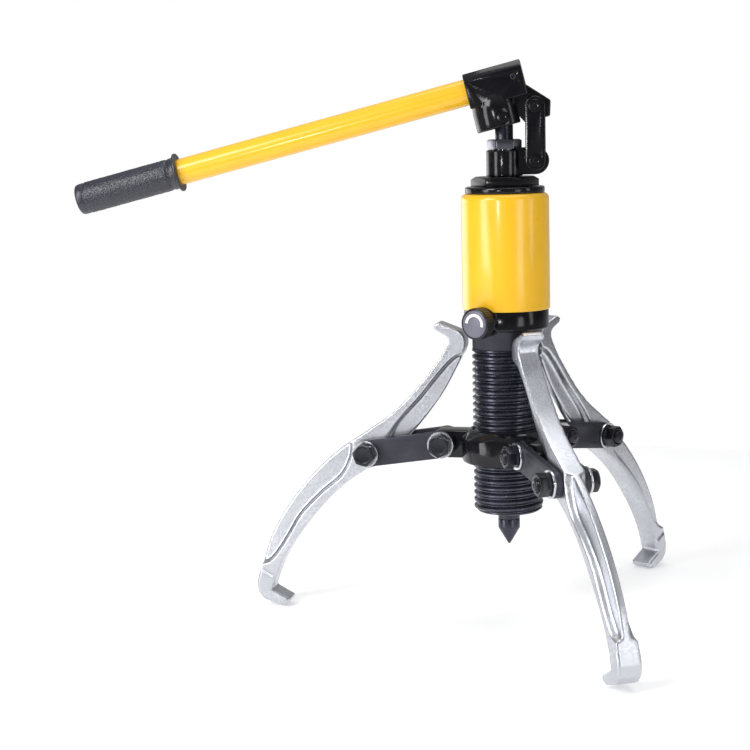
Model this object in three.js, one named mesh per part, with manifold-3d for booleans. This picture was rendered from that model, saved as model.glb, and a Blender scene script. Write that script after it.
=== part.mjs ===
// A self-contained hydraulic gear puller with three reversible jaws.
//
// Frame: millimetres, +Z up along the ram. The origin is the point of the ram, which is the tip
// that presses on a shaft end. The pump handle points to -X. The puller stands on its jaws.

import * as THREE from "three";
import { mergeVertices } from "three/addons/utils/BufferGeometryUtils.js";
import Module from "manifold-3d";

const wasm = await Module();
wasm.setup();

// ---------------------------------------------------------------- driving dimensions

const GAP = 0.3;

// Heights along the ram axis
const BODY_END = 33;
const NECK_BASE = 186;
const COLLAR_BASE = 204;
const RESERVOIR_BASE = 222;
const RESERVOIR_TOP = 328;
const WASHER_TOP = 334;
const TOP_NUT_TOP = 343;
const BARREL_TOP = 367;
const GLAND_NUT_TOP = 376.5;

// Threaded hydraulic body
const THREAD_RADIUS = 32.25;
const THREAD_DEPTH = 2.7;
const THREAD_PITCH = 6.4;
const THREAD_CHAMFER = 3.5;
const NECK_RADIUS = 31.8;
const COLLAR_RADIUS = 38.9;
const BORE_RADIUS = 20;
const BORE_TOP = 196;
const OIL_PASSAGE_RADIUS = 2.5;

// Ram
const RAM_RADIUS = 10.2;
const POINT_HEIGHT = 15.5;
const POINT_FLAT = 0.9;
const POINT_TOP = 24;
const PISTON_BASE = 180;
const PISTON_TOP = 194;
const RAM_GLAND_TOP = 46;
const SPRING_TOP = 126;

// Reservoir and its clamp
const RESERVOIR_RADIUS = 40.2;
const RESERVOIR_WALL = 3.2;
const RESERVOIR_SHOULDER = 5.5;
const FILLER_Z = 302;
const TOP_WASHER_RADIUS = 36.3;
const TOP_NUT_FLATS = 54;

// Pump
const COLUMN_RADIUS = 14;
const BARREL_RADIUS = 16.5;
const PLUNGER_RADIUS = 8.2;
const PLUNGER_BASE = 266;
const GLAND_NUT_FLATS = 27.6;
const GLAND_NUT_TURN = THREE.MathUtils.degToRad(4.5);
const LUG_HALF = 10;
const LUG_RADIUS = 12.2;
const LINK_X = 28.4;
const LOWER_PIN_Z = 356.6;
const UPPER_PIN_Z = 405.4;
const PUMP_LINK_RADIUS = 9;
const PUMP_LINK_THICK = 5;
const LINK_PIN_RADIUS = 4.75;
const PLUNGER_PIN_Z = 396.3;
const PLUNGER_PIN_RADIUS = 4;
const PIN_SLOT = 1.8;
const PIN_HEAD = 1.4;

// Handle
const HANDLE_TILT = THREE.MathUtils.degToRad(13.85);
const HANDLE_AXIS_Z = 427.4;
const HANDLE_LIFT = THREE.MathUtils.degToRad(40);
const HANDLE_DROP = THREE.MathUtils.degToRad(4);
const TUBE_RADIUS = 12;
const TUBE_WALL = 2;
const SOCKET_FRONT = -34;
const SOCKET_BACK = 19;
const SOCKET_HALF = 17;
const SOCKET_TOP = 16;
const SOCKET_CHAMFER = 6;
const SKIRT_CENTRE = -12.7;
const SKIRT_RADIUS = 21.3;
const SKIRT_BASE = -38.5;
const SKIRT_TOP = -5;
const TONGUE_HALF = 9.7;
const TUBE_INNER_END = 15;
const SET_SCREW_RADIUS = 3;
const SET_SCREW_X = 10;
const SET_SCREW_Z = 2.4;
const GRIP_END = -411;
const GRIP_FLANGE = -310;
const GRIP_RADIUS = 15;
const GRIP_FLANGE_RADIUS = 17.9;

// Release valve
const KNOB_AZIMUTH = THREE.MathUtils.degToRad(-120);
const KNOB_Z = 213;
const KNOB_RADIUS = 14.4;
const KNOB_FACE = 55;
const KNOB_BACK = 42;
const VALVE_BOSS_RADIUS = 13.6;
const SPINDLE_RADIUS = 4;
const SPINDLE_SEAT = 14;

// Ring nut, links and bolts of the three arms. Angles are in degrees: where each arm stands round the
// ring, how far its links hang down, and how far its jaw leans out at the top.
const ARMS = [
  { azimuth: 172.6, droop: 8, lean: -0.2 },
  { azimuth: -65.5, droop: 9, lean: -1.8 },
  { azimuth: 52.6, droop: 8.6, lean: 0.5 },
];
const RING_BASE = 80;
const RING_TOP = 110.5;
const RING_RADIUS = 43;
const RING_BORE = 32.9;
const RING_CHAMFER = 8;
const SPANNER_FLAT = 40.4;
const SPANNER_FLAT_AZIMUTH = -105;
const INNER_PIVOT_R = 61;
const INNER_PIVOT_Z = 95.5;
const LINK_LENGTH = 73;
const LINK_RADIUS = 12.6;
const LINK_THICK = 6;
const JAW_HALF = 10;
const JAW_TOE_HALF = 11.2;
const JAW_WEB_HALF = 3.8;
const JAW_BOSS_RADIUS = 15.2;
const BOLT_RADIUS = 5.9;
const BOLT_HOLE = 6.3;
const BOLT_FLATS = 18.6;
const BOLT_HEAD = 7.5;
const NUT_THICK = 10.5;
const BOLT_STICKOUT = 2.6;
const WASHER_RADIUS = 12.6;
const WASHER_THICK = 2.2;

// ---------------------------------------------------------------- materials

function standard(color, roughness, metalness) {
  return new THREE.MeshStandardMaterial({ color, roughness, metalness });
}

const YELLOW_PAINT = standard(0xf2b311, 0.25, 0);
const BLACK_PAINT = standard(0x121214, 0.22, 0);
const BLACK_OXIDE = standard(0x1d1d21, 0.45, 0.8);
const ZINC = standard(0xc9cbd3, 0.3, 0.9);
const STEEL = standard(0x8d9096, 0.35, 0.9);
const RUBBER = standard(0x26272c, 0.75, 0);
const KNOB_GREY = standard(0x6d6c7c, 0.5, 0.1);
const SEAL = standard(0x2a4a86, 0.6, 0);

// ---------------------------------------------------------------- solids

// A closed geometry as a solid, with its faces turned outwards.
function solid(geometry) {
  const bare = new THREE.BufferGeometry();
  bare.setAttribute("position", geometry.getAttribute("position").clone());
  bare.setIndex(geometry.index);
  const merged = mergeVertices(bare, 1e-4);
  const source = merged.index.array;
  const build = (flip) => {
    const triangles = [];
    for (let i = 0; i < source.length; i += 3) {
      const [a, b, c] = flip ? [source[i], source[i + 2], source[i + 1]] : source.slice(i, i + 3);
      if (a !== b && b !== c && c !== a) triangles.push(a, b, c);
    }
    return new wasm.Manifold(new wasm.Mesh({
      numProp: 3,
      vertProperties: merged.attributes.position.array,
      triVerts: new Uint32Array(triangles),
    }));
  };
  const made = build(false);
  return made.volume() < 0 ? build(true) : made;
}

function geometryOf(shape) {
  const mesh = shape.getMesh();
  const geometry = new THREE.BufferGeometry();
  geometry.setAttribute("position", new THREE.BufferAttribute(new Float32Array(mesh.vertProperties), 3));
  geometry.setIndex(new THREE.BufferAttribute(new Uint32Array(mesh.triVerts), 1));
  geometry.computeVertexNormals();
  return geometry;
}

const join = (...shapes) => shapes.reduce((whole, shape) => whole.add(shape));
const cut = (shape, ...tools) => tools.reduce((whole, tool) => whole.subtract(tool), shape);

// A body of revolution about Z from [radius, height] pairs.
function turned(profile, segments = 24) {
  const points = profile.map(([r, z]) => new THREE.Vector2(r, z));
  return solid(new THREE.LatheGeometry(points, segments).rotateX(Math.PI / 2));
}

const rod = (radius, from, to, segments = 24) =>
  turned([[0, from], [radius, from], [radius, to], [0, to]], segments);

const ring = (inner, outer, from, to, segments = 24) =>
  turned([[inner, from], [outer, from], [outer, to], [inner, to], [inner, from]], segments);

// A rod along Y through (x, z).
function crossRod(radius, x, z, from, to, segments = 16) {
  const geometry = new THREE.CylinderGeometry(radius, radius, to - from, segments);
  return solid(geometry.translate(x, (from + to) / 2, z));
}

function box(x0, x1, y0, y1, z0, z1) {
  const geometry = new THREE.BoxGeometry(x1 - x0, y1 - y0, z1 - z0);
  return solid(geometry.translate((x0 + x1) / 2, (y0 + y1) / 2, (z0 + z1) / 2));
}

// A plate drawn in the XZ plane, from y0 to y1.
function plate(shape, y0, y1, curveSegments = 2) {
  const geometry = new THREE.ExtrudeGeometry(shape, { depth: y1 - y0, bevelEnabled: false, curveSegments });
  return solid(geometry.rotateX(Math.PI / 2).translate(0, y1, 0));
}

function polygon(corners) {
  return new THREE.Shape(corners.map(([x, z]) => new THREE.Vector2(x, z)));
}

// Two circles of one radius joined by straight sides, as a closed outline.
function stadium(x0, z0, x1, z1, radius) {
  const along = Math.atan2(z1 - z0, x1 - x0);
  const shape = new THREE.Shape();
  shape.absarc(x1, z1, radius, along - Math.PI / 2, along + Math.PI / 2, false);
  shape.absarc(x0, z0, radius, along + Math.PI / 2, along + 1.5 * Math.PI, false);
  return shape;
}

// A hexagon prism along Z with its edges broken at the ends that are asked for.
function hexPrism(flats, from, to, breakLow, breakHigh) {
  const corner = flats / Math.sqrt(3);
  const drop = (corner - flats / 2) * 0.8;
  const blank = solid(new THREE.CylinderGeometry(corner, corner, to - from, 6)
    .rotateX(Math.PI / 2)
    .translate(0, 0, (from + to) / 2));
  const face = flats / 2;
  const low = breakLow ? [[face, from], [corner + 1, from + drop]] : [[corner + 1, from]];
  const high = breakHigh ? [[corner + 1, to - drop], [face, to]] : [[corner + 1, to]];
  return blank.intersect(turned([[0, from], ...low, ...high, [0, to]], 18));
}

// ---------------------------------------------------------------- scene graph helpers

const puller = new THREE.Group();
puller.name = "gear_puller";

function addNode(parent, name, shape, material) {
  const mesh = new THREE.Mesh(geometryOf(shape), material);
  mesh.name = name;
  parent.add(mesh);
  return mesh;
}

function subGroup(parent) {
  const group = new THREE.Group();
  parent.add(group);
  return group;
}

// ---------------------------------------------------------------- threaded body

// One helical thread of V form, closed at both ends.
function threadedRod(major, minor, pitch, from, to, segments) {
  const turns = Math.ceil((to - from) / pitch) + 2;
  const rows = 2 * turns + 1;
  const positions = [];
  for (let i = 0; i < segments; i++) {
    const angle = (2 * Math.PI * i) / segments;
    for (let j = 0; j < rows; j++) {
      const radius = j % 2 === 0 ? minor : major;
      const z = from - pitch + pitch * (j / 2 + i / segments);
      positions.push(radius * Math.cos(angle), radius * Math.sin(angle), z);
    }
  }
  const at = (i, j) => i * rows + j;
  const low = positions.length / 3;
  positions.push(0, 0, from - pitch);
  const high = low + 1;
  positions.push(0, 0, to + pitch);
  const faces = [];
  const lowRim = [];
  const highRim = [];
  for (let i = 0; i < segments; i++) {
    const last = i === segments - 1;
    const right = (j) => (last ? at(0, j + 2) : at(i + 1, j));
    const columnRows = last ? rows - 2 : rows;
    for (let j = 0; j < columnRows - 1; j++) {
      faces.push(at(i, j), right(j), right(j + 1), at(i, j), right(j + 1), at(i, j + 1));
    }
    lowRim.push(at(i, 0));
    highRim.push(at(i, rows - 1));
  }
  lowRim.push(at(0, 2), at(0, 1));
  highRim.push(at(segments - 1, rows - 2), at(segments - 1, rows - 3));
  lowRim.forEach((v, k) => faces.push(low, lowRim[(k + 1) % lowRim.length], v));
  highRim.forEach((v, k) => faces.push(high, v, highRim[(k + 1) % highRim.length]));
  const geometry = new THREE.BufferGeometry();
  geometry.setAttribute("position", new THREE.Float32BufferAttribute(positions, 3));
  geometry.setIndex(faces);
  return solid(geometry);
}

function cylinderBody() {
  const root = THREAD_RADIUS - THREAD_DEPTH;
  const thread = threadedRod(THREAD_RADIUS, root, THREAD_PITCH, BODY_END, NECK_BASE, 18);
  const blank = turned([
    [0, BODY_END],
    [root - 0.6, BODY_END],
    [root + THREAD_CHAMFER, BODY_END + THREAD_CHAMFER],
    [root + THREAD_CHAMFER, NECK_BASE],
    [0, NECK_BASE],
  ], 18);
  const head = turned([
    [0, NECK_BASE - 3],
    [root, NECK_BASE - 3],
    [NECK_RADIUS, NECK_BASE],
    [NECK_RADIUS, COLLAR_BASE],
    [COLLAR_RADIUS - 1, COLLAR_BASE],
    [COLLAR_RADIUS, COLLAR_BASE + 1],
    [COLLAR_RADIUS, RESERVOIR_BASE],
    [0, RESERVOIR_BASE],
  ], 32);
  const bore = rod(BORE_RADIUS, BODY_END - 1, BORE_TOP);
  const passage = rod(OIL_PASSAGE_RADIUS, BORE_TOP - 1, RESERVOIR_BASE + 1, 12);
  const valveHole = rod(SPINDLE_RADIUS + GAP, SPINDLE_SEAT - 2, KNOB_BACK + 1, 16);
  const boss = rod(VALVE_BOSS_RADIUS, NECK_RADIUS, KNOB_BACK - GAP);
  return cut(join(thread.intersect(blank), head, releaseTurn(boss)), bore, passage, releaseTurn(valveHole));
}

// ---------------------------------------------------------------- ram

function helicalSpring(radius, wire, from, to, turns) {
  const steps = 8 * turns;
  const sides = 5;
  const climb = (to - from - 2 * wire) / steps;
  const positions = [];
  for (let i = 0; i <= steps; i++) {
    const angle = (2 * Math.PI * i) / 8;
    const z = from + wire + climb * i;
    for (let k = 0; k < sides; k++) {
      const around = (2 * Math.PI * k) / sides;
      const r = radius + wire * Math.cos(around);
      positions.push(r * Math.cos(angle), r * Math.sin(angle), z + wire * Math.sin(around));
    }
  }
  const faces = [];
  for (let i = 0; i < steps; i++) {
    for (let k = 0; k < sides; k++) {
      const a = i * sides + k;
      const b = i * sides + ((k + 1) % sides);
      faces.push(a, a + sides, b + sides, a, b + sides, b);
    }
  }
  const end = steps * sides;
  for (let k = 1; k < sides - 1; k++) {
    faces.push(0, k, k + 1, end, end + k + 1, end + k);
  }
  const geometry = new THREE.BufferGeometry();
  geometry.setAttribute("position", new THREE.Float32BufferAttribute(positions, 3));
  geometry.setIndex(faces);
  return solid(geometry);
}

function addRam() {
  const stub = 5;
  const stubTop = POINT_TOP + 15;
  const point = turned([
    [0, 0],
    [POINT_FLAT, 0],
    [RAM_RADIUS, POINT_HEIGHT],
    [RAM_RADIUS, POINT_TOP],
    [stub, POINT_TOP],
    [stub, stubTop],
    [0, stubTop],
  ], 24);
  const grooveRadius = 16.5;
  const grooveBase = PISTON_BASE + 5;
  const grooveTop = PISTON_BASE + 10;
  const pistonRadius = BORE_RADIUS - GAP;
  const ram = turned([
    [0, stubTop + GAP],
    [stub + GAP, stubTop + GAP],
    [stub + GAP, POINT_TOP + GAP],
    [RAM_RADIUS, POINT_TOP + GAP],
    [RAM_RADIUS, PISTON_BASE],
    [pistonRadius - 0.3, PISTON_BASE],
    [pistonRadius - 0.3, grooveBase],
    [grooveRadius, grooveBase],
    [grooveRadius, grooveTop],
    [pistonRadius - 0.3, grooveTop],
    [pistonRadius - 0.3, PISTON_TOP],
    [0, PISTON_TOP],
  ], 24);
  addNode(puller, "ram_point", point, BLACK_OXIDE);
  addNode(puller, "ram", ram, STEEL);
  const seal = ring(grooveRadius + GAP, pistonRadius, grooveBase + GAP, grooveTop - GAP, 24);
  addNode(puller, "piston_seal", seal, SEAL);
  const gland = ring(RAM_RADIUS + GAP, BORE_RADIUS - GAP, BODY_END + 1, RAM_GLAND_TOP);
  addNode(puller, "ram_gland", gland, BLACK_OXIDE);
  addNode(puller, "return_spring", helicalSpring(15, 1.8, RAM_GLAND_TOP + GAP, SPRING_TOP, 7), STEEL);
}

// ---------------------------------------------------------------- reservoir

function reservoirSleeve() {
  const inner = RESERVOIR_RADIUS - RESERVOIR_WALL;
  const arc = [];
  const steps = 4;
  for (let i = 0; i <= steps; i++) {
    const angle = (i / steps) * (Math.PI / 2);
    arc.push([
      RESERVOIR_RADIUS - RESERVOIR_SHOULDER + RESERVOIR_SHOULDER * Math.cos(angle),
      RESERVOIR_TOP - RESERVOIR_SHOULDER + RESERVOIR_SHOULDER * Math.sin(angle),
    ]);
  }
  const lip = COLUMN_RADIUS + 4;
  const shell = turned([
    [inner, RESERVOIR_BASE + GAP],
    [RESERVOIR_RADIUS, RESERVOIR_BASE + GAP],
    ...arc,
    [lip, RESERVOIR_TOP],
    [lip, RESERVOIR_TOP - 4],
    [inner - 4, RESERVOIR_TOP - 4],
    [inner, RESERVOIR_TOP - 8],
    [inner, RESERVOIR_BASE + GAP],
  ], 32);
  const filler = crossRod(4.4, 0, FILLER_Z, inner - 6, RESERVOIR_RADIUS + 2, 12);
  const valveArch = rod(VALVE_BOSS_RADIUS + 0.4, NECK_RADIUS, KNOB_FACE);
  return cut(shell, filler, releaseTurn(valveArch));
}

function addReservoir() {
  addNode(puller, "reservoir_sleeve", reservoirSleeve(), YELLOW_PAINT);
  addNode(puller, "top_washer", turned([
    [COLUMN_RADIUS + 0.6, RESERVOIR_TOP + GAP],
    [TOP_WASHER_RADIUS, RESERVOIR_TOP + GAP],
    [TOP_WASHER_RADIUS, WASHER_TOP - 1],
    [TOP_WASHER_RADIUS - 1, WASHER_TOP],
    [COLUMN_RADIUS + 0.6, WASHER_TOP],
    [COLUMN_RADIUS + 0.6, RESERVOIR_TOP + GAP],
  ], 32), BLACK_PAINT);
  const nut = cut(
    hexPrism(TOP_NUT_FLATS, WASHER_TOP + GAP, TOP_NUT_TOP, false, true),
    rod(COLUMN_RADIUS + GAP, WASHER_TOP - 5, TOP_NUT_TOP + 5),
  );
  // Turned so that two of its flats face along Y.
  addNode(puller, "top_nut", nut, BLACK_OXIDE).rotation.z = Math.PI / 6;
  const plug = join(
    crossRod(6, 0, FILLER_Z, RESERVOIR_RADIUS + GAP, RESERVOIR_RADIUS + 3.5, 16),
    crossRod(4, 0, FILLER_Z, RESERVOIR_RADIUS - 5, RESERVOIR_RADIUS + 1, 12),
  );
  const slot = box(-6, 6, RESERVOIR_RADIUS + 2, RESERVOIR_RADIUS + 5, FILLER_Z - 0.8, FILLER_Z + 0.8);
  addNode(puller, "filler_plug", cut(plug, slot), BLACK_OXIDE);
}

// ---------------------------------------------------------------- pump

function pumpCylinder() {
  const base = RESERVOIR_BASE + GAP;
  const column = rod(COLUMN_RADIUS, base, TOP_NUT_TOP + 1, 24);
  const barrel = rod(BARREL_RADIUS, TOP_NUT_TOP + GAP, BARREL_TOP, 32);
  const lugTop = LOWER_PIN_Z + 9;
  const lug = join(
    crossRod(LUG_RADIUS, LINK_X, LOWER_PIN_Z, -LUG_HALF, LUG_HALF, 24),
    box(8, LINK_X, -LUG_HALF, LUG_HALF, LOWER_PIN_Z - LUG_RADIUS + 0.2, lugTop),
  );
  const boreFloor = PLUNGER_BASE - 12.4;
  return cut(
    join(column, barrel, lug),
    rod(PLUNGER_RADIUS + GAP, boreFloor, BARREL_TOP + 1, 24),
    rod(OIL_PASSAGE_RADIUS, base - 1, boreFloor + 1, 12),
    rod(11.3, BARREL_TOP - 16, BARREL_TOP + 1, 24),
    crossRod(LINK_PIN_RADIUS + GAP, LINK_X, LOWER_PIN_Z, -LUG_HALF - 1, LUG_HALF + 1),
    crossRod(3, 0, base + 20, -COLUMN_RADIUS - 1, 0, 12),
  );
}

function glandNut() {
  return cut(
    join(
      hexPrism(GLAND_NUT_FLATS, BARREL_TOP + GAP, GLAND_NUT_TOP, true, true),
      rod(11, BARREL_TOP - 9, BARREL_TOP + 1, 24),
    ),
    rod(PLUNGER_RADIUS + GAP, BARREL_TOP - 12, GLAND_NUT_TOP + 1, 24),
  );
}

function plunger() {
  const round = crossRod(PLUNGER_RADIUS, 0, PLUNGER_PIN_Z, -PLUNGER_RADIUS - 1, PLUNGER_RADIUS + 1, 20);
  const tall = rod(PLUNGER_RADIUS, PLUNGER_BASE, PLUNGER_PIN_Z + PLUNGER_RADIUS, 24);
  const short = rod(PLUNGER_RADIUS, PLUNGER_BASE, PLUNGER_PIN_Z, 24);
  const eye = stadium(-PIN_SLOT, PLUNGER_PIN_Z, PIN_SLOT, PLUNGER_PIN_Z, PLUNGER_PIN_RADIUS + 0.45);
  return cut(join(tall.intersect(round), short), plate(eye, -PLUNGER_RADIUS - 1, PLUNGER_RADIUS + 1, 10));
}

function headedPin(radius, x, z, reach) {
  return join(
    crossRod(radius, x, z, -reach, reach),
    crossRod(radius + 1.3, x, z, -reach, -reach + PIN_HEAD),
  );
}

function addPump() {
  addNode(puller, "pump_cylinder", pumpCylinder(), BLACK_PAINT);
  addNode(puller, "gland_nut", glandNut(), ZINC).rotation.z = Math.PI / 6 + GLAND_NUT_TURN;
  addNode(puller, "plunger_seal", ring(PLUNGER_RADIUS + 0.2, 11, BARREL_TOP - 15, BARREL_TOP - 10, 24), SEAL);
  addNode(puller, "plunger", plunger(), STEEL);
  const inlet = new THREE.SphereGeometry(4.5, 12, 8).translate(0, 0, PLUNGER_BASE - 7.6);
  addNode(puller, "suction_ball", solid(inlet), STEEL);
  const linkFace = LUG_HALF + GAP;
  const outline = () => {
    const shape = stadium(LINK_X, LOWER_PIN_Z, LINK_X, UPPER_PIN_Z, PUMP_LINK_RADIUS);
    for (const z of [LOWER_PIN_Z, UPPER_PIN_Z]) {
      const hole = new THREE.Path();
      hole.absarc(LINK_X, z, LINK_PIN_RADIUS + GAP, 0, 2 * Math.PI, true);
      shape.holes.push(hole);
    }
    return shape;
  };
  const frontLink = plate(outline(), -linkFace - PUMP_LINK_THICK, -linkFace, 8);
  addNode(puller, "pump_link_front", frontLink, BLACK_OXIDE);
  addNode(puller, "pump_link_rear", plate(outline(), linkFace, linkFace + PUMP_LINK_THICK, 8), BLACK_OXIDE);
  const pinReach = linkFace + PUMP_LINK_THICK + GAP + PIN_HEAD;
  addNode(puller, "link_pin_lower", headedPin(LINK_PIN_RADIUS, LINK_X, LOWER_PIN_Z, pinReach), BLACK_OXIDE);
  addNode(puller, "link_pin_upper", headedPin(LINK_PIN_RADIUS, LINK_X, UPPER_PIN_Z, pinReach), BLACK_OXIDE);
}

// ---------------------------------------------------------------- handle

// A point of the XZ plane in the handle's own tilted frame, whose X runs up the tube.
function inHandle(x, z) {
  const c = Math.cos(HANDLE_TILT);
  const s = Math.sin(HANDLE_TILT);
  const dz = z - HANDLE_AXIS_Z;
  return [x * c + dz * s, -x * s + dz * c];
}

// The room that the plunger's end needs inside the rocker while the rocker swings round its pin.
function plungerRoom(pinX, pinZ) {
  const reach = 26;
  const half = PLUNGER_RADIUS + PIN_SLOT + 0.8;
  const down = -Math.PI / 2 - HANDLE_TILT;
  const first = down - HANDLE_DROP - THREE.MathUtils.degToRad(2);
  const final = down + HANDLE_LIFT + THREE.MathUtils.degToRad(2);
  const shape = new THREE.Shape();
  shape.absarc(pinX, pinZ, half, final + Math.PI / 2, first + 1.5 * Math.PI, false);
  const side = (turn, hand) => {
    const x = pinX + reach * Math.cos(turn) + hand * half * Math.cos(turn + Math.PI / 2);
    const z = pinZ + reach * Math.sin(turn) + hand * half * Math.sin(turn + Math.PI / 2);
    shape.lineTo(x, z);
  };
  side(first, -1);
  side(final, 1);
  return plate(shape, -TONGUE_HALF - 0.2, TONGUE_HALF + 0.2, 8);
}

function rocker() {
  const [pinX, pinZ] = inHandle(0, PLUNGER_PIN_Z);
  const [pivotX, pivotZ] = inHandle(LINK_X, UPPER_PIN_Z);
  const c = SOCKET_CHAMFER;
  const section = polygon([
    [-SOCKET_HALF, -SOCKET_TOP],
    [SOCKET_HALF, -SOCKET_TOP],
    [SOCKET_HALF, SOCKET_TOP - c],
    [SOCKET_HALF - c, SOCKET_TOP],
    [c - SOCKET_HALF, SOCKET_TOP],
    [-SOCKET_HALF, SOCKET_TOP - c],
  ]);
  const depth = SOCKET_BACK - SOCKET_FRONT;
  const socket = solid(new THREE.ExtrudeGeometry(section, { depth, bevelEnabled: false })
    .rotateX(Math.PI / 2)
    .rotateZ(Math.PI / 2)
    .translate(SOCKET_FRONT, 0, 0));
  const skirt = rod(SKIRT_RADIUS, SKIRT_BASE, SKIRT_TOP, 32).translate([SKIRT_CENTRE, 0, 0]);
  const tongue = plate(polygon([
    [-5, -10],
    [SOCKET_BACK, -7],
    [pivotX + 15, pivotZ + 1.6],
    [pivotX + 11, pivotZ - 12.1],
    [pivotX - 9, pivotZ - 12.1],
    [-2, SKIRT_BASE],
  ]), -TONGUE_HALF, TONGUE_HALF);
  const bore = new THREE.CylinderGeometry(TUBE_RADIUS + GAP, TUBE_RADIUS + GAP, TUBE_INNER_END + 60, 24)
    .rotateZ(Math.PI / 2)
    .translate((TUBE_INNER_END - 60) / 2 + GAP, 0, 0);
  return cut(
    join(socket, skirt, tongue),
    solid(bore),
    plungerRoom(pinX, pinZ),
    crossRod(PLUNGER_PIN_RADIUS + GAP, pinX, pinZ, -SKIRT_RADIUS - 2, SKIRT_RADIUS + 2),
    crossRod(LINK_PIN_RADIUS + GAP, pivotX, pivotZ, -TONGUE_HALF - 1, TONGUE_HALF + 1),
    crossRod(SET_SCREW_RADIUS + GAP, SET_SCREW_X, SET_SCREW_Z, -SOCKET_HALF - 1, 0, 12),
  );
}

// A revolved piece whose axis is the handle tube's, from [radius, distance along the tube] pairs.
function alongTube(profile, segments = 24) {
  const points = profile.map(([r, x]) => new THREE.Vector2(r, x));
  return solid(new THREE.LatheGeometry(points, segments).rotateZ(-Math.PI / 2));
}

function addHandle() {
  const handle = subGroup(puller);
  handle.position.z = HANDLE_AXIS_Z;
  handle.rotation.y = -HANDLE_TILT;
  const [pinX, pinZ] = inHandle(0, PLUNGER_PIN_Z);
  addNode(handle, "rocker", rocker(), BLACK_PAINT);
  const plungerPin = headedPin(PLUNGER_PIN_RADIUS, pinX, pinZ, SKIRT_RADIUS + GAP + PIN_HEAD);
  addNode(handle, "plunger_pin", plungerPin, BLACK_OXIDE);
  const tubeEnd = GRIP_END + 3;
  addNode(handle, "handle_tube", alongTube([
    [TUBE_RADIUS - TUBE_WALL, tubeEnd],
    [TUBE_RADIUS, tubeEnd],
    [TUBE_RADIUS, TUBE_INNER_END],
    [TUBE_RADIUS - TUBE_WALL, TUBE_INNER_END],
    [TUBE_RADIUS - TUBE_WALL, tubeEnd],
  ]), YELLOW_PAINT);
  addNode(handle, "handle_grip", alongTube([
    [0, GRIP_END],
    [GRIP_RADIUS - 1.5, GRIP_END],
    [GRIP_RADIUS, GRIP_END + 1.5],
    [GRIP_RADIUS, GRIP_FLANGE - 3],
    [GRIP_FLANGE_RADIUS, GRIP_FLANGE - 2.6],
    [GRIP_FLANGE_RADIUS, GRIP_FLANGE],
    [TUBE_RADIUS + GAP, GRIP_FLANGE],
    [TUBE_RADIUS + GAP, tubeEnd - GAP],
    [0, tubeEnd - GAP],
  ]), RUBBER);
  const [x, z] = [SET_SCREW_X, SET_SCREW_Z];
  const screw = crossRod(SET_SCREW_RADIUS, x, z, 0.4 - SOCKET_HALF, -TUBE_RADIUS - GAP, 12);
  const socketHex = new THREE.CylinderGeometry(1.8, 1.8, 5, 6).translate(x, -SOCKET_HALF, z);
  addNode(handle, "handle_set_screw", cut(screw, solid(socketHex)), BLACK_OXIDE);
}

// ---------------------------------------------------------------- release valve

// Turns a solid that was made along Z so that it runs out along the release valve's axis.
function releaseTurn(shape) {
  const degrees = THREE.MathUtils.radToDeg(KNOB_AZIMUTH);
  return shape.rotate([0, 90, 0]).rotate([0, 0, degrees]).translate([0, 0, KNOB_Z]);
}

function addReleaseValve() {
  const knob = cut(
    turned([
      [0, KNOB_BACK],
      [KNOB_RADIUS - 2.5, KNOB_BACK],
      [KNOB_RADIUS, KNOB_BACK + 2],
      [KNOB_RADIUS, KNOB_FACE - 1],
      [KNOB_RADIUS - 1, KNOB_FACE],
      [0, KNOB_FACE],
    ], 32),
    rod(SPINDLE_RADIUS + GAP, KNOB_BACK - 1, KNOB_FACE - 4, 16),
  );
  addNode(puller, "release_knob", releaseTurn(knob), KNOB_GREY);
  const spindle = turned([
    [0, SPINDLE_SEAT],
    [SPINDLE_RADIUS, SPINDLE_SEAT + 4],
    [SPINDLE_RADIUS, KNOB_FACE - 5],
    [0, KNOB_FACE - 5],
  ], 16);
  addNode(puller, "release_spindle", releaseTurn(spindle), STEEL);
}

// ---------------------------------------------------------------- ring nut

function ringNut() {
  const blank = turned([
    [0, RING_BASE],
    [RING_RADIUS - 2, RING_BASE],
    [RING_RADIUS, RING_BASE + 2],
    [RING_RADIUS, RING_TOP - RING_CHAMFER],
    [RING_RADIUS - RING_CHAMFER, RING_TOP],
    [0, RING_TOP],
  ], 32);
  const ears = ARMS.map(({ azimuth }) => {
    const outline = stadium(RING_RADIUS - 9, INNER_PIVOT_Z, INNER_PIVOT_R, INNER_PIVOT_Z, LINK_RADIUS + 0.4);
    const ear = cut(
      plate(outline, -JAW_HALF, JAW_HALF, 10),
      crossRod(BOLT_HOLE, INNER_PIVOT_R, INNER_PIVOT_Z, -JAW_HALF - 1, JAW_HALF + 1, 16),
    );
    return ear.rotate([0, 0, azimuth]);
  });
  const bore = rod(RING_BORE, RING_BASE - 1, RING_TOP + 1, 28);
  const flat = box(SPANNER_FLAT, RING_RADIUS + 2, -18, 18, RING_BASE - 1, RING_TOP + 1);
  return cut(join(blank, ...ears), bore, flat.rotate([0, 0, SPANNER_FLAT_AZIMUTH]));
}

// ---------------------------------------------------------------- arms

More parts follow.
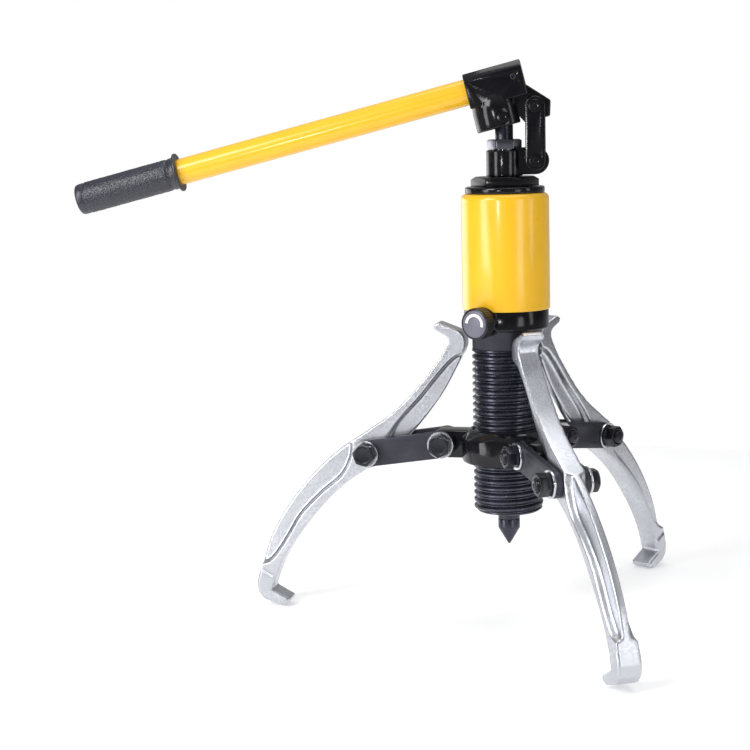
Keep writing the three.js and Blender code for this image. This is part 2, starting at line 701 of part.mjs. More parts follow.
// Outline points of a jaw in its own plane, from the pivot bolt: X outwards, Z up, as it stands.
const LOWER_BACK = [
  [10, 14], [28.3, 1.8], [48.8, -15.8], [69.5, -38.5], [87, -63], [101, -89], [109.5, -117],
];
const LOWER_FRONT = [
  [94.5, -126], [86, -107], [73, -86], [57, -65.5], [40, -46.5], [20, -29], [0, -15.4],
];
const UPPER_BACK = [
  [0, -15.4], [-22, -2], [-42, 18.5], [-59.5, 39.5], [-74, 60], [-86, 82], [-93, 96],
];
const UPPER_FRONT = [
  [-79.5, 105], [-71, 90.5], [-61, 77.3], [-41.7, 54.5], [-22.5, 36.5], [-3, 22.7], [10, 14],
];
const HOOK = [
  [-95.4, 102], [-95.6, 108], [-93.6, 113.5], [-89.5, 117.3], [-70, 124.6], [-65.5, 121.8],
  [-66.8, 117.8], [-77, 112.5], [-79.5, 109.5],
];
const TOE = [
  [113.5, -131], [112.5, -141], [106.5, -148], [88, -153.2], [82.5, -151.3], [80.5, -146.5],
  [98.5, -137],
];
const LOWER_POCKET = [
  [107, -113], [97.5, -108.6], [84, -91], [67, -63.5], [46.6, -42], [26.8, -25], [18, -11], [14.6, 0.4],
  [14.5, 11],
];
const UPPER_POCKET = [
  [-93, 97], [-84, 93], [-71.3, 80.2], [-51.2, 55.6], [-31.9, 34.6], [-20, 18], [-15.6, 4], [-15, -8],
];

const vectors = (points) => points.map(([x, z]) => new THREE.Vector2(x, z));

function jawOutline() {
  const shape = new THREE.Shape();
  shape.moveTo(...LOWER_BACK[0]);
  shape.splineThru(vectors(LOWER_BACK.slice(1)));
  TOE.forEach(([x, z]) => shape.lineTo(x, z));
  shape.lineTo(...LOWER_FRONT[0]);
  shape.splineThru(vectors(LOWER_FRONT.slice(1)));
  shape.splineThru(vectors(UPPER_BACK.slice(1)));
  HOOK.forEach(([x, z]) => shape.lineTo(x, z));
  shape.lineTo(...UPPER_FRONT[0]);
  shape.splineThru(vectors(UPPER_FRONT.slice(1)));
  return shape;
}

// A pocket reaches from its curved wall to beyond the jaw's back edge, on both sides of the web.
function jawPocket(wall, beyond) {
  const shape = new THREE.Shape();
  shape.moveTo(...wall[0]);
  shape.splineThru(vectors(wall.slice(1)));
  beyond.forEach(([x, z]) => shape.lineTo(x, z));
  shape.closePath();
  const deep = JAW_HALF + 2;
  return join(plate(shape, JAW_WEB_HALF, deep, 2), plate(shape, -deep, -JAW_WEB_HALF, 2));
}

function jaw() {
  const toeBlock = polygon([LOWER_BACK[6], ...TOE, LOWER_FRONT[0]]);
  const blank = join(
    plate(jawOutline(), -JAW_HALF, JAW_HALF, 2),
    crossRod(JAW_BOSS_RADIUS, 0, 0, -JAW_HALF, JAW_HALF, 20),
  );
  const pocketed = cut(
    blank,
    jawPocket(LOWER_POCKET, [[30, 20], [100, -40], [125, -110]]),
    jawPocket(UPPER_POCKET, [[-25, -20], [-60, 0], [-105, 60], [-112, 97]]),
  );
  return cut(
    join(pocketed, plate(toeBlock, -JAW_TOE_HALF, JAW_TOE_HALF)),
    crossRod(BOLT_HOLE, 0, 0, -JAW_HALF - 1, JAW_HALF + 1, 12),
  );
}

function linkPlate(y0, y1) {
  const shape = stadium(0, 0, LINK_LENGTH, 0, LINK_RADIUS);
  for (const x of [0, LINK_LENGTH]) {
    const hole = new THREE.Path();
    hole.absarc(x, 0, BOLT_HOLE, 0, 2 * Math.PI, true);
    shape.holes.push(hole);
  }
  return plate(shape, y0, y1, 6);
}

// Stands a piece that was made along Z on the +Y or -Y side of an arm.
const toSide = (shape, hand) => shape.rotate([hand > 0 ? -90 : 90, 0, 0]);

const WASHER_FROM = JAW_HALF + GAP + LINK_THICK + 0.2;
const CLAMP_FROM = WASHER_FROM + WASHER_THICK + 0.2;

function bolt() {
  const length = CLAMP_FROM + NUT_THICK + BOLT_STICKOUT;
  const head = hexPrism(BOLT_FLATS, CLAMP_FROM, CLAMP_FROM + BOLT_HEAD, false, true);
  const shank = turned([
    [0, -length],
    [BOLT_RADIUS - 1, -length],
    [BOLT_RADIUS, 1 - length],
    [BOLT_RADIUS, CLAMP_FROM + 1],
    [0, CLAMP_FROM + 1],
  ], 12);
  return toSide(join(head, shank), 1);
}

function nut() {
  const blank = hexPrism(BOLT_FLATS, CLAMP_FROM, CLAMP_FROM + NUT_THICK, true, true);
  return toSide(cut(blank, rod(BOLT_HOLE, 0, CLAMP_FROM + NUT_THICK + 1, 12)), -1);
}

function washer(hand) {
  return toSide(ring(BOLT_HOLE, WASHER_RADIUS, WASHER_FROM, WASHER_FROM + WASHER_THICK, 16), hand);
}

function addArm({ azimuth, droop, lean }, number) {
  const drop = THREE.MathUtils.degToRad(droop);
  const arm = subGroup(puller);
  arm.rotation.z = THREE.MathUtils.degToRad(azimuth);
  const link = subGroup(arm);
  link.position.set(INNER_PIVOT_R, 0, INNER_PIVOT_Z);
  link.rotation.y = drop;
  const face = JAW_HALF + GAP;
  addNode(link, `link_a_${number}`, linkPlate(face, face + LINK_THICK), BLACK_OXIDE);
  addNode(link, `link_b_${number}`, linkPlate(-face - LINK_THICK, -face), BLACK_OXIDE);
  for (const [place, x] of [["inner", 0], ["outer", LINK_LENGTH]]) {
    const pieces = [
      [`${place}_bolt_${number}`, bolt(), BLACK_OXIDE],
      [`${place}_nut_${number}`, nut(), BLACK_OXIDE],
      [`${place}_head_washer_${number}`, washer(1), ZINC],
      [`${place}_nut_washer_${number}`, washer(-1), ZINC],
    ];
    for (const [name, shape, material] of pieces) {
      addNode(link, name, shape, material).position.x = x;
    }
  }
  const jawNode = addNode(arm, `jaw_${number}`, jaw(), ZINC);
  jawNode.position.x = INNER_PIVOT_R + LINK_LENGTH * Math.cos(drop);
  jawNode.position.z = INNER_PIVOT_Z - LINK_LENGTH * Math.sin(drop);
  jawNode.rotation.y = THREE.MathUtils.degToRad(lean);
}

// ---------------------------------------------------------------- assembly

addNode(puller, "cylinder_body", cylinderBody(), BLACK_OXIDE);
addRam();
addReservoir();
addPump();
addHandle();
addReleaseValve();
addNode(puller, "ring_nut", ringNut(), BLACK_PAINT);
ARMS.forEach((arm, i) => addArm(arm, i + 1));

export default puller;
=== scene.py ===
"""Hydraulic gear puller with three reversible jaws: the looks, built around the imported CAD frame.

Solids are made in millimetres in the row frame (+Z up the ram, handle towards -X), or in the frame of
a knob, handle or arm that stands in it, and piece() turns them into metres.
"""

import math

import bmesh
import bpy
from mathutils import Matrix, Vector, noise


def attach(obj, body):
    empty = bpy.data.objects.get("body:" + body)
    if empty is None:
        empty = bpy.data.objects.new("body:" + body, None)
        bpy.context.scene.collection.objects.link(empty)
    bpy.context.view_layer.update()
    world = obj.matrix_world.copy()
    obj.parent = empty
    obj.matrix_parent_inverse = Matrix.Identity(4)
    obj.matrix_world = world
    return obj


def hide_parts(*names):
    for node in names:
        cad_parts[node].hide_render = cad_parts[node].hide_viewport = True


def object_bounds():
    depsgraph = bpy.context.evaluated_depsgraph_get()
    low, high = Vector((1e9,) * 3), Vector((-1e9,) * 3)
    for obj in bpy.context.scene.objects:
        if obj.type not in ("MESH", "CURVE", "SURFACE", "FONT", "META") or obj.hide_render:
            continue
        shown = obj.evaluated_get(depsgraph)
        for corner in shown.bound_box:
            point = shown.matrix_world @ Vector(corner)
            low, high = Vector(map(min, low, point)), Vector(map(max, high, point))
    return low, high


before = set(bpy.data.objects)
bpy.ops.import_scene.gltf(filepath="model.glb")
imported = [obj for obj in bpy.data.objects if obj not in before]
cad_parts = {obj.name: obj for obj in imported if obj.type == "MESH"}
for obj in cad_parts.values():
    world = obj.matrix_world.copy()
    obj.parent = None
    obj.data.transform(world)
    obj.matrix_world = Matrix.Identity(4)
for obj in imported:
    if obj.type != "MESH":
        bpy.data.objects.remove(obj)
START_LOW, START_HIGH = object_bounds()
MM = 0.001

# ------------------------------------------------------------------ driving sizes, mm and degrees

# The threaded body, and the collar above it that holds the release valve.
THREAD_R, ROOT_R, PITCH = 32.25, 29.6, 6.4
BODY_END, NECK = 33.0, 186.0
COLLAR_FROM, COLLAR_TO = 204.0, 222.0
KNOB_Z, KNOB_AZIMUTH = 213.0, -120.0
KNOB_R, KNURL_RIBS = 14.4, 36
STEM_R = 4.3

# The ram inside it.
RAM_R, PISTON_R = 10.15, 19.4

# The oil reservoir, held down by a washer and a nut round the pump's column.
RESERVOIR_R, RESERVOIR_WALL, RESERVOIR_TOP = 40.2, 3.2, 328.0
SHOULDER_R = 5.5
FILLER_Z = 302.0
COLUMN_R = 14.0
TOP_NUT_FLATS = 54.0

# The pump: its barrel, plunger, links and pins.
BARREL_R, BARREL_TOP = 16.5, 367.0
PUMP_BORE_END, COUNTERBORE_END = 256.0, 351.0
PLUNGER_R, PLUNGER_END = 8.2, 266.0
GLAND_FLATS = 27.6
LINK_X = 28.4
LOWER_PIN_Z, UPPER_PIN_Z, PLUNGER_PIN_Z = 356.6, 405.4, 396.3
LINK_PIN_R, LINK_HOLE_R = 4.75, 5.05
PLUNGER_PIN_R, PLUNGER_EYE_R, EYE_SLIDE = 4.0, 4.45, 1.8
PUMP_LINK_FROM, PUMP_LINK_TO = 10.3, 15.3
LUG_HALF = 9.9

# The handle, whose own frame has X along the tube away from the grip.
HANDLE_Z, TILT = 427.4, 13.85
TUBE_R, TUBE_END = 12.0, -408.0
GRIP_R = 14.55
PEBBLES_FROM, PEBBLES_TO = -401.0, -321.0
SCREW_X, SCREW_Z = 10.0, 2.4

# The ring nut and the arms that hang on it: the azimuth, link droop and jaw lean of each.
ARMS = ((172.6, 8.0, -0.2), (-65.5, 9.0, -1.8), (52.6, 8.6, 0.5))
PIVOT_R, PIVOT_Z = 61.0, 95.5
RING_BORE_R, RING_FROM, RING_TO = 32.9, 80.0, 110.4
SPANNER_FLAT, SPANNER_FLAT_AZIMUTH = 40.4, -105.0
EAR_R = 13.0
LINK_LENGTH, ARM_LINK_R = 73.0, 12.6
ARM_LINK_FROM, ARM_LINK_TO = 10.3, 16.3
WASHER_FROM, CLAMP_FROM = 16.5, 18.9
BOLT_R, BOLT_HOLE_R, BOLT_FLATS = 5.9, 6.3, 18.6
HEAD_HEIGHT, NUT_HEIGHT = 7.5, 10.5
BOLT_TIP, BOLT_PITCH = 2.6, 1.5
JAW_HALF, WEB_HALF = 10.0, 3.8

# The studio, in metres, with the camera's turns in radians and its lens in millimetres.
FLOOR_R = 0.85
CAMERA_PLACE = (0.0528, -1.546, 0.3914)
CAMERA_YAW, CAMERA_PITCH, CAMERA_ROLL = math.radians(6.5), math.radians(8.43), math.radians(-1.415)
LENS = 80.7216

# ------------------------------------------------------------------ mesh helpers


def new_object(name, verts, faces):
    mesh = bpy.data.meshes.new(name)
    mesh.from_pydata([tuple(v) for v in verts], [], faces)
    mesh.update()
    obj = bpy.data.objects.new(name, mesh)
    bpy.context.scene.collection.objects.link(obj)
    bm = bmesh.new()
    bm.from_mesh(mesh)
    bmesh.ops.remove_doubles(bm, verts=bm.verts, dist=1e-4)
    bmesh.ops.recalc_face_normals(bm, faces=bm.faces)
    bm.to_mesh(mesh)
    bm.free()
    return obj


def lathe(name, profile, segs, wobble=None):
    """A body of revolution about Z. The profile starts and ends on the axis, or closes on itself."""
    closed = profile[0] == profile[-1]
    rows = profile[:-1] if closed else profile
    verts, rings = [], []
    for r, z in rows:
        ring = []
        count = 1 if r == 0 else segs
        for k in range(count):
            angle = 2 * math.pi * k / segs
            radius = r if wobble is None else r + wobble(r, angle, z)
            ring.append(len(verts))
            verts.append((radius * math.cos(angle), radius * math.sin(angle), z))
        rings.append(ring)
    faces = []
    last = len(rows) if closed else len(rows) - 1
    for j in range(last):
        near, far = rings[j], rings[(j + 1) % len(rows)]
        if len(near) == 1 and len(far) == 1:
            continue
        for k in range(segs):
            after = (k + 1) % segs
            if len(near) == 1:
                faces.append((near[0], far[after], far[k]))
            elif len(far) == 1:
                faces.append((near[k], near[after], far[0]))
            else:
                faces.append((near[k], near[after], far[after], far[k]))
    return new_object(name, verts, faces)


def prism(name, outline, y0, y1, far=None):
    """An outline in XZ, pushed from y0 to y1, where it may have become another outline of as many points."""
    count = len(outline)
    verts = [(x, y0, z) for x, z in outline] + [(x, y1, z) for x, z in far or outline]
    faces = [tuple(range(count)), tuple(range(2 * count - 1, count - 1, -1))]
    faces += [(i, (i + 1) % count, count + (i + 1) % count, count + i) for i in range(count)]
    return new_object(name, verts, faces)


def moved(obj, matrix):
    obj.data.transform(matrix)
    return obj


def turned(degrees, axis):
    return Matrix.Rotation(math.radians(degrees), 4, axis)


def shift(x, y, z):
    return Matrix.Translation((x, y, z))


def boolean(obj, tool, operation):
    modifier = obj.modifiers.new("b", "BOOLEAN")
    modifier.operation = operation
    modifier.solver = "EXACT"
    modifier.object = tool
    bake(obj)
    bpy.data.objects.remove(tool)
    return obj


def cut(obj, *tools):
    for tool in tools:
        boolean(obj, tool, "DIFFERENCE")
    return obj


def join(obj, *tools):
    for tool in tools:
        boolean(obj, tool, "UNION")
    return obj


def meet(obj, tool):
    return boolean(obj, tool, "INTERSECT")


def bake(obj):
    bpy.context.view_layer.update()
    evaluated = obj.evaluated_get(bpy.context.evaluated_depsgraph_get())
    mesh = bpy.data.meshes.new_from_object(evaluated)
    obj.modifiers.clear()
    obj.data = mesh
    return obj


def rounded(obj, width, segments, angle=38):
    """Breaks the edges of a solid that are sharper than an angle."""
    bm = bmesh.new()
    bm.from_mesh(obj.data)
    bmesh.ops.remove_doubles(bm, verts=bm.verts, dist=2e-3)
    bmesh.ops.dissolve_limit(bm, angle_limit=math.radians(1), verts=bm.verts, edges=bm.edges)
    bm.to_mesh(obj.data)
    bm.free()
    modifier = obj.modifiers.new("r", "BEVEL")
    modifier.width = width
    modifier.segments = segments
    modifier.limit_method = "ANGLE"
    modifier.angle_limit = math.radians(angle)
    modifier.use_clamp_overlap = True
    modifier.miter_outer = "MITER_ARC"
    return bake(obj)


def forged(obj, voxel=1.0, passes=8):
    """Softens a solid all over, as a forging comes out of its die."""
    modifier = obj.modifiers.new("v", "REMESH")
    modifier.mode = "VOXEL"
    modifier.voxel_size = voxel
    modifier = obj.modifiers.new("s", "SMOOTH")
    modifier.factor = 0.5
    modifier.iterations = passes
    return bake(obj)


def smooth(obj, angle=40):
    obj.data.polygons.foreach_set("use_smooth", [True] * len(obj.data.polygons))
    obj.data.set_sharp_from_angle(angle=math.radians(angle))


def piece(obj, body, finish, nodes=(), place=None, angle=40):
    """Puts a finished solid into the row frame, in metres, and hands it to its CAD body."""
    if place is not None:
        obj.data.transform(place)
    obj.data.transform(Matrix.Scale(MM, 4))
    obj.data.materials.clear()
    obj.data.materials.append(finish)
    smooth(obj, angle)
    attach(obj, body)
    if nodes:
        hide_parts(*nodes)


def arc(cx, cz, r, start, end, n):
    """Points on an arc round a centre, from one angle to another in degrees."""
    angles = [math.radians(start + (end - start) / n * i) for i in range(n + 1)]
    return [(cx + r * math.cos(a), cz + r * math.sin(a)) for a in angles]


def stadium(x0, z0, x1, z1, r, n):
    """Two half circles and the straight sides between them."""
    along = math.degrees(math.atan2(z1 - z0, x1 - x0))
    return arc(x1, z1, r, along - 90, along + 90, n) + arc(x0, z0, r, along + 90, along + 270, n)


def curve_through(points, per=6):
    """Catmull-Rom points through a list, without its first point."""
    out = []
    last = len(points) - 1

    def at(t, a, b, c, d):
        square = 2 * a - 5 * b + 4 * c - d
        cube = 3 * b - a - 3 * c + d
        return 0.5 * (2 * b + (c - a) * t + square * t * t + cube * t ** 3)

    for i in range(last):
        four = (points[max(i - 1, 0)], points[i], points[i + 1], points[min(i + 2, last)])
        for step in range(1, per + 1):
            out.append(tuple(at(step / per, *values) for values in zip(*four)))
    return out


def shifted(points, by):
    """A polyline moved sideways, to the right of the way it runs."""
    out = []
    for k, (x, z) in enumerate(points):
        (ax, az), (bx, bz) = points[max(k - 1, 0)], points[min(k + 1, len(points) - 1)]
        size = math.hypot(bx - ax, bz - az)
        out.append((x + by * (bz - az) / size, z - by * (bx - ax) / size))
    return out


def rod(name, r, z0, z1, segs):
    return lathe(name, [(0, z0), (r, z0), (r, z1), (0, z1)], segs)


def tube(name, inner, outer, z0, z1, segs):
    return lathe(name, [(inner, z0), (outer, z0), (outer, z1), (inner, z1), (inner, z0)], segs)


def cross_rod(name, r, x, z, y0, y1, segs=48):
    """A rod along Y."""
    return moved(rod(name, r, y0, y1, segs), shift(x, 0, z) @ turned(-90, "X"))


def block(name, x0, x1, y0, y1, z0, z1):
    return prism(name, [(x0, z0), (x1, z0), (x1, z1), (x0, z1)], y0, y1)


def hexagon(name, flats, z0, z1, low, high):
    """A hexagon nut or head with its corners turned off at the ends asked for.

    The turning leaves a round face just inside the flats and drops away towards the corners.
    """
    corner = flats / math.sqrt(3)
    beyond = corner + 1.2
    drop = (corner - flats / 2) * 0.806
    rim = flats / 2 * 0.985
    angles = [math.radians(60 * k) for k in range(6)]
    verts = [(corner * math.cos(a), corner * math.sin(a), z) for z in (z0, z1) for a in angles]
    faces = [tuple(range(5, -1, -1)), tuple(range(6, 12))]
    faces += [(k, (k + 1) % 6, 6 + (k + 1) % 6, 6 + k) for k in range(6)]
    blank = new_object(name, verts, faces)
    profile = [(0, z0 - 1)]
    if low:
        profile += [(rim - 0.5, z0 - 1), (rim, z0), (beyond, z0 + drop)]
    else:
        profile += [(beyond, z0 - 1)]
    if high:
        profile += [(beyond, z1 - drop), (rim, z1), (rim - 0.5, z1 + 1)]
    else:
        profile += [(beyond, z1 + 1)]
    profile += [(0, z1 + 1)]
    return meet(blank, lathe(name + "_t", profile, 72))


# ------------------------------------------------------------------ materials


def material(name, colour, rough, metal, coat=0.0, specular=0.5, grain=900, bump=0.08, mottle=0.12,
             spread=0.1, worn=None):
    """Principled finish with mottled colour, uneven roughness and a fine surface grain.

    grain is the scale of the surface's relief and bump its strength. mottle and spread are how far the
    colour and the roughness stray. worn is the colour of small worn spots, and the noise level above
    which they show.
    """
    finish = bpy.data.materials.new(name)
    finish.use_nodes = True
    nodes, links = finish.node_tree.nodes, finish.node_tree.links
    shader = nodes["Principled BSDF"]
    shader.inputs["Metallic"].default_value = metal
    shader.inputs["Coat Weight"].default_value = coat
    shader.inputs["Coat Roughness"].default_value = 0.12
    shader.inputs["Specular IOR Level"].default_value = specular
    where = nodes.new("ShaderNodeTexCoord").outputs["Object"]

    def cloud(scale, detail):
        texture = nodes.new("ShaderNodeTexNoise")
        texture.inputs["Scale"].default_value = scale
        texture.inputs["Detail"].default_value = detail
        links.new(where, texture.inputs["Vector"])
        return texture.outputs["Fac"]

    tone = nodes.new("ShaderNodeValToRGB")
    dark = [c * (1 - mottle) for c in colour]
    light = [min(1, c * (1 + mottle)) for c in colour]
    tone.color_ramp.elements[0].position = 0.3
    tone.color_ramp.elements[0].color = (*dark, 1)
    tone.color_ramp.elements[1].position = 0.7
    tone.color_ramp.elements[1].color = (*light, 1)
    links.new(cloud(38, 5), tone.inputs["Fac"])
    base = tone.outputs["Color"]
    if worn:
        bare, level = worn
        chips = nodes.new("ShaderNodeValToRGB")
        chips.color_ramp.elements[0].position = level
        chips.color_ramp.elements[1].position = level + 0.02
        links.new(cloud(420, 8), chips.inputs["Fac"])
        mix = nodes.new("ShaderNodeMix")
        mix.data_type = "RGBA"
        mix.inputs["B"].default_value = (*bare, 1)
        links.new(chips.outputs["Color"], mix.inputs["Factor"])
        links.new(base, mix.inputs["A"])
        base = mix.outputs["Result"]
    links.new(base, shader.inputs["Base Color"])
    sheen = nodes.new("ShaderNodeMapRange")
    sheen.inputs["To Min"].default_value = max(0.03, rough - spread)
    sheen.inputs["To Max"].default_value = rough + spread
    links.new(cloud(120, 6), sheen.inputs["Value"])
    links.new(sheen.outputs["Result"], shader.inputs["Roughness"])
    relief = nodes.new("ShaderNodeBump")
    relief.inputs["Strength"].default_value = bump
    relief.inputs["Distance"].default_value = 0.0004
    links.new(cloud(grain, 4), relief.inputs["Height"])
    links.new(relief.outputs["Normal"], shader.inputs["Normal"])
    return finish


YELLOW = material("yellow_enamel", (0.96, 0.535, 0.014), 0.3, 0.0,
                  coat=0.4, bump=0.04, mottle=0.03, spread=0.05)
BLACK = material("black_enamel", (0.006, 0.006, 0.008), 0.14, 0.0,
                 specular=0.35, grain=300, bump=0.2, mottle=0.3, spread=0.06, worn=((0.1, 0.1, 0.11), 0.77))
OXIDE = material("black_oxide", (0.038, 0.038, 0.052), 0.44, 0.5,
                 grain=1500, bump=0.2, mottle=0.3, worn=((0.16, 0.16, 0.17), 0.75))
THREAD = material("oiled_thread", (0.06, 0.062, 0.082), 0.26, 0.85,
                  bump=0.15, mottle=0.35, worn=((0.35, 0.35, 0.38), 0.72))
FORGED = material("zinc_forging", (0.59, 0.605, 0.645), 0.3, 1.0,
                  grain=1500, bump=0.35, mottle=0.12, spread=0.07, worn=((0.53, 0.54, 0.585), 0.5))
ZINC = material("zinc_plate", (0.6, 0.61, 0.65), 0.24, 1.0,
                grain=1200, bump=0.12, mottle=0.08, spread=0.08)
BOLT = material("oiled_bolt", (0.02, 0.02, 0.028), 0.24, 0.5,
                grain=1500, bump=0.15, mottle=0.3, spread=0.06, worn=((0.2, 0.2, 0.22), 0.74))
DULL = material("dull_zinc", (0.3, 0.31, 0.35), 0.2, 1.0,
                grain=1200, bump=0.12, mottle=0.15, spread=0.08)
STEEL = material("ground_steel", (0.45, 0.46, 0.48), 0.25, 1.0, grain=1800, spread=0.08)
RUBBER = material("grip_rubber", (0.018, 0.0185, 0.032), 0.34, 0.0,
                  specular=0.7, grain=1500, bump=0.5, mottle=0.25)
KNOB = material("knob_face", (0.16, 0.155, 0.2), 0.45, 0.1,
                grain=1500, bump=0.15, mottle=0.1, spread=0.08)
KNOB_BODY = material("knob_body", (0.012, 0.012, 0.015), 0.3, 0.0, bump=0.1, spread=0.06)
WHITE = material("white_mark", (0.9, 0.9, 0.9), 0.4, 0.0, bump=0.02, mottle=0.02, spread=0.05)
SEAL = material("seal_rubber", (0.03, 0.08, 0.25), 0.6, 0.0)

# ------------------------------------------------------------------ threaded body


def thread_radius(share, z):
    """Radius of a worn 60-degree thread at a share of its pitch, tapered away at the body's end."""
    crest, flank = 0.27, 0.30
    if share < crest:
        depth = 0.0
    elif share < crest + flank:
        depth = (share - crest) / flank
    elif share < 1 - flank:
        depth = 1.0
    else:
        depth = (1 - share) / flank
    r = THREAD_R - (THREAD_R - ROOT_R) * depth
    return min(r, ROOT_R - 0.8 + (z - BODY_END) * 1.15)


def thread_mesh():
    """The helical thread as one skin, whose rows climb by one pitch in a turn."""
    segs = 96
    shares = [0, 0.09, 0.18, 0.27, 0.37, 0.47, 0.57, 0.635, 0.7, 0.85]
    turns = int((NECK - BODY_END) / PITCH) + 3
    verts, faces = [], []
    rows = len(shares) * turns
    for i in range(segs + 1):
        angle = 2 * math.pi * i / segs
        across, along = math.cos(angle), math.sin(angle)
        for j in range(rows):
            turn, k = divmod(j, len(shares))
            climb = BODY_END - PITCH + PITCH * (turn + shares[k] + i / segs)
            z = min(max(climb, BODY_END), NECK)
            share = shares[k] if z == climb else ((z - BODY_END) / PITCH - i / segs) % 1.0
            rough = 0.05 * noise.noise(Vector((across * 6, along * 6, climb * 0.4)))
            r = thread_radius(share, z) + rough
            verts.append((r * across, r * along, z))
    for i in range(segs):
        for j in range(rows - 1):
            first = i * rows + j
            faces.append((first, first + rows, first + rows + 1, first + 1))
    shell = bpy.data.meshes.new("thread")
    shell.from_pydata(verts, [], faces)
    bm = bmesh.new()
    bm.from_mesh(shell)
    bmesh.ops.remove_doubles(bm, verts=bm.verts, dist=0.02)
    bmesh.ops.dissolve_degenerate(bm, dist=0.01, edges=bm.edges)
    bmesh.ops.recalc_face_normals(bm, faces=bm.faces)
    bm.to_mesh(shell)
    bm.free()
    return shell


def threaded_body():
    thread = bpy.data.objects.new("body_thread", thread_mesh())
    bpy.context.scene.collection.objects.link(thread)
    piece(thread, "body", THREAD, ["cylinder_body"], angle=28)
    profile = [(20.2, BODY_END + 3), (20.2, BODY_END + 0.2), (21.2, BODY_END), (28.6, BODY_END),
               (28.9, BODY_END + 0.6), (28.9, BODY_END + 3), (20.2, BODY_END + 3)]
    piece(lathe("body_end_face", profile, 96), "body", THREAD)
    profile = [(27, NECK - 3), (29.4, NECK - 3), (30.6, NECK - 0.8), (31.6, NECK + 0.2), (31.8, NECK + 1),
               (31.8, COLLAR_FROM - 0.6), (32.3, COLLAR_FROM), (27, COLLAR_FROM), (27, NECK - 3)]
    piece(lathe("body_neck", profile, 96), "body", OXIDE)


# ------------------------------------------------------------------ valve block

KNOB_TURN = shift(0, 0, KNOB_Z) @ turned(KNOB_AZIMUTH, "Z") @ turned(90, "Y")


def valve_block():
    bottom = COLLAR_FROM + 0.05
    profile = [(30, bottom), (37.6, bottom), (38.7, bottom + 1.05), (38.9, COLLAR_FROM + 2),
               (38.9, COLLAR_TO - 0.4), (38.6, COLLAR_TO), (30, COLLAR_TO), (30, bottom)]
    collar = lathe("valve_collar", profile, 160)
    boss = moved(lathe("boss", [(0, 30), (13.6, 30), (13.6, 41), (12.9, 41.7), (0, 41.7)], 72), KNOB_TURN)
    collar = join(collar, boss)
    collar = cut(collar, moved(rod("stem", STEM_R, 28, 50, 32), KNOB_TURN))
    piece(rounded(collar, 0.35, 2), "body", BLACK)
    joint = tube("collar_joint", 33, 38, COLLAR_TO - 0.1, COLLAR_TO + 0.6, 128)
    piece(joint, "body", BLACK)


# ------------------------------------------------------------------ ram


def ram():
    profile = [(0, 0), (0.75, 0), (0.95, 0.15), (4.0, 5.05), (9.9, 15.0), (10.2, 15.7), (10.2, 23.7),
               (10.1, 24), (5, 24), (5, 39), (0, 39)]
    piece(lathe("ram_point", profile, 96), "ram", THREAD, ["ram_point"], angle=22)
    groove = PISTON_R - 2.9
    profile = [(0, 39.3), (5.3, 39.3), (5.3, 24.3), (9.8, 24.3), (RAM_R, 24.7), (RAM_R, 180), (19.2, 180),
               (PISTON_R, 180.2), (PISTON_R, 185), (groove, 185), (groove, 190), (PISTON_R, 190),
               (PISTON_R, 193.6), (19, 194), (0, 194)]
    piece(lathe("ram_rod", profile, 96), "ram", THREAD, ["ram"])


def ram_gland():
    bore, outer, face, top = 10.6, 19.7, BODY_END + 1, BODY_END + 13
    profile = [(bore, face + 0.2), (bore + 0.3, face), (outer - 0.3, face), (outer, face + 0.3),
               (outer, top), (bore, top), (bore, face + 0.2)]
    gland = lathe("ram_gland_nut", profile, 96)
    for azimuth in (45, 135, 225, 315):
        cut(gland, moved(rod("spanner", 1.6, 33, 38, 24), turned(azimuth, "Z") @ shift(15.2, 0, 0)))
    piece(rounded(gland, 0.2, 1), "body", OXIDE, ["ram_gland"])


# ------------------------------------------------------------------ reservoir


def reservoir():
    outer, inner = RESERVOIR_R, RESERVOIR_R - RESERVOIR_WALL
    bottom = COLLAR_TO + 0.3
    profile = [(inner, bottom + 0.2), (inner + 0.3, bottom), (outer - 0.5, bottom), (outer, bottom + 0.6)]
    profile += arc(outer - SHOULDER_R, RESERVOIR_TOP - SHOULDER_R, SHOULDER_R, 0, 90, 10)
    profile += [(18.4, RESERVOIR_TOP), (18, RESERVOIR_TOP - 0.4), (18, RESERVOIR_TOP - 4),
                (33, RESERVOIR_TOP - 4), (inner, RESERVOIR_TOP - 8), (inner, bottom + 0.2)]
    sleeve = lathe("reservoir_sleeve", profile, 192)
    notch = moved(rod("notch", 14.0, 25, 60, 72), KNOB_TURN)
    sleeve = cut(sleeve, notch, cross_rod("fill", 4.4, 0, FILLER_Z, 30, 45, 32))
    piece(rounded(sleeve, 0.3, 2), "body", YELLOW, ["reservoir_sleeve"])


def reservoir_cap():
    bore, low, high = COLUMN_R + 0.7, RESERVOIR_TOP + 0.3, RESERVOIR_TOP + 6
    profile = [(bore, low + 0.2), (bore + 0.3, low), (35.9, low), (36.3, low + 0.5), (36.3, high - 1.3),
               (35.9, high - 0.6), (35.0, high - 0.1), (34, high), (bore + 0.3, high), (bore, high - 0.3),
               (bore, low + 0.2)]
    piece(lathe("clamp_washer", profile, 160), "body", BLACK, ["top_washer"])
    nut = hexagon("reservoir_nut", TOP_NUT_FLATS, high + 0.3, high + 9, False, True)
    nut = cut(nut, rod("bore", COLUMN_R + 0.4, high - 4, high + 16, 72))
    piece(rounded(nut, 0.35, 2, 25), "body", BLACK, ["top_nut"], angle=25)


def filler_plug():
    seat = RESERVOIR_R + 0.3
    plug = cross_rod("filler_plug", 5.9, 0, FILLER_Z, seat, seat + 3, 48)
    plug = join(plug, cross_rod("neck", 3.9, 0, FILLER_Z, seat - 4.5, seat + 0.5, 32))
    plug = cut(plug, block("slot", -6.2, 6.2, seat + 1.7, seat + 4.5, FILLER_Z - 0.7, FILLER_Z + 0.7))
    piece(rounded(plug, 0.3, 2), "body", OXIDE, ["filler_plug"])


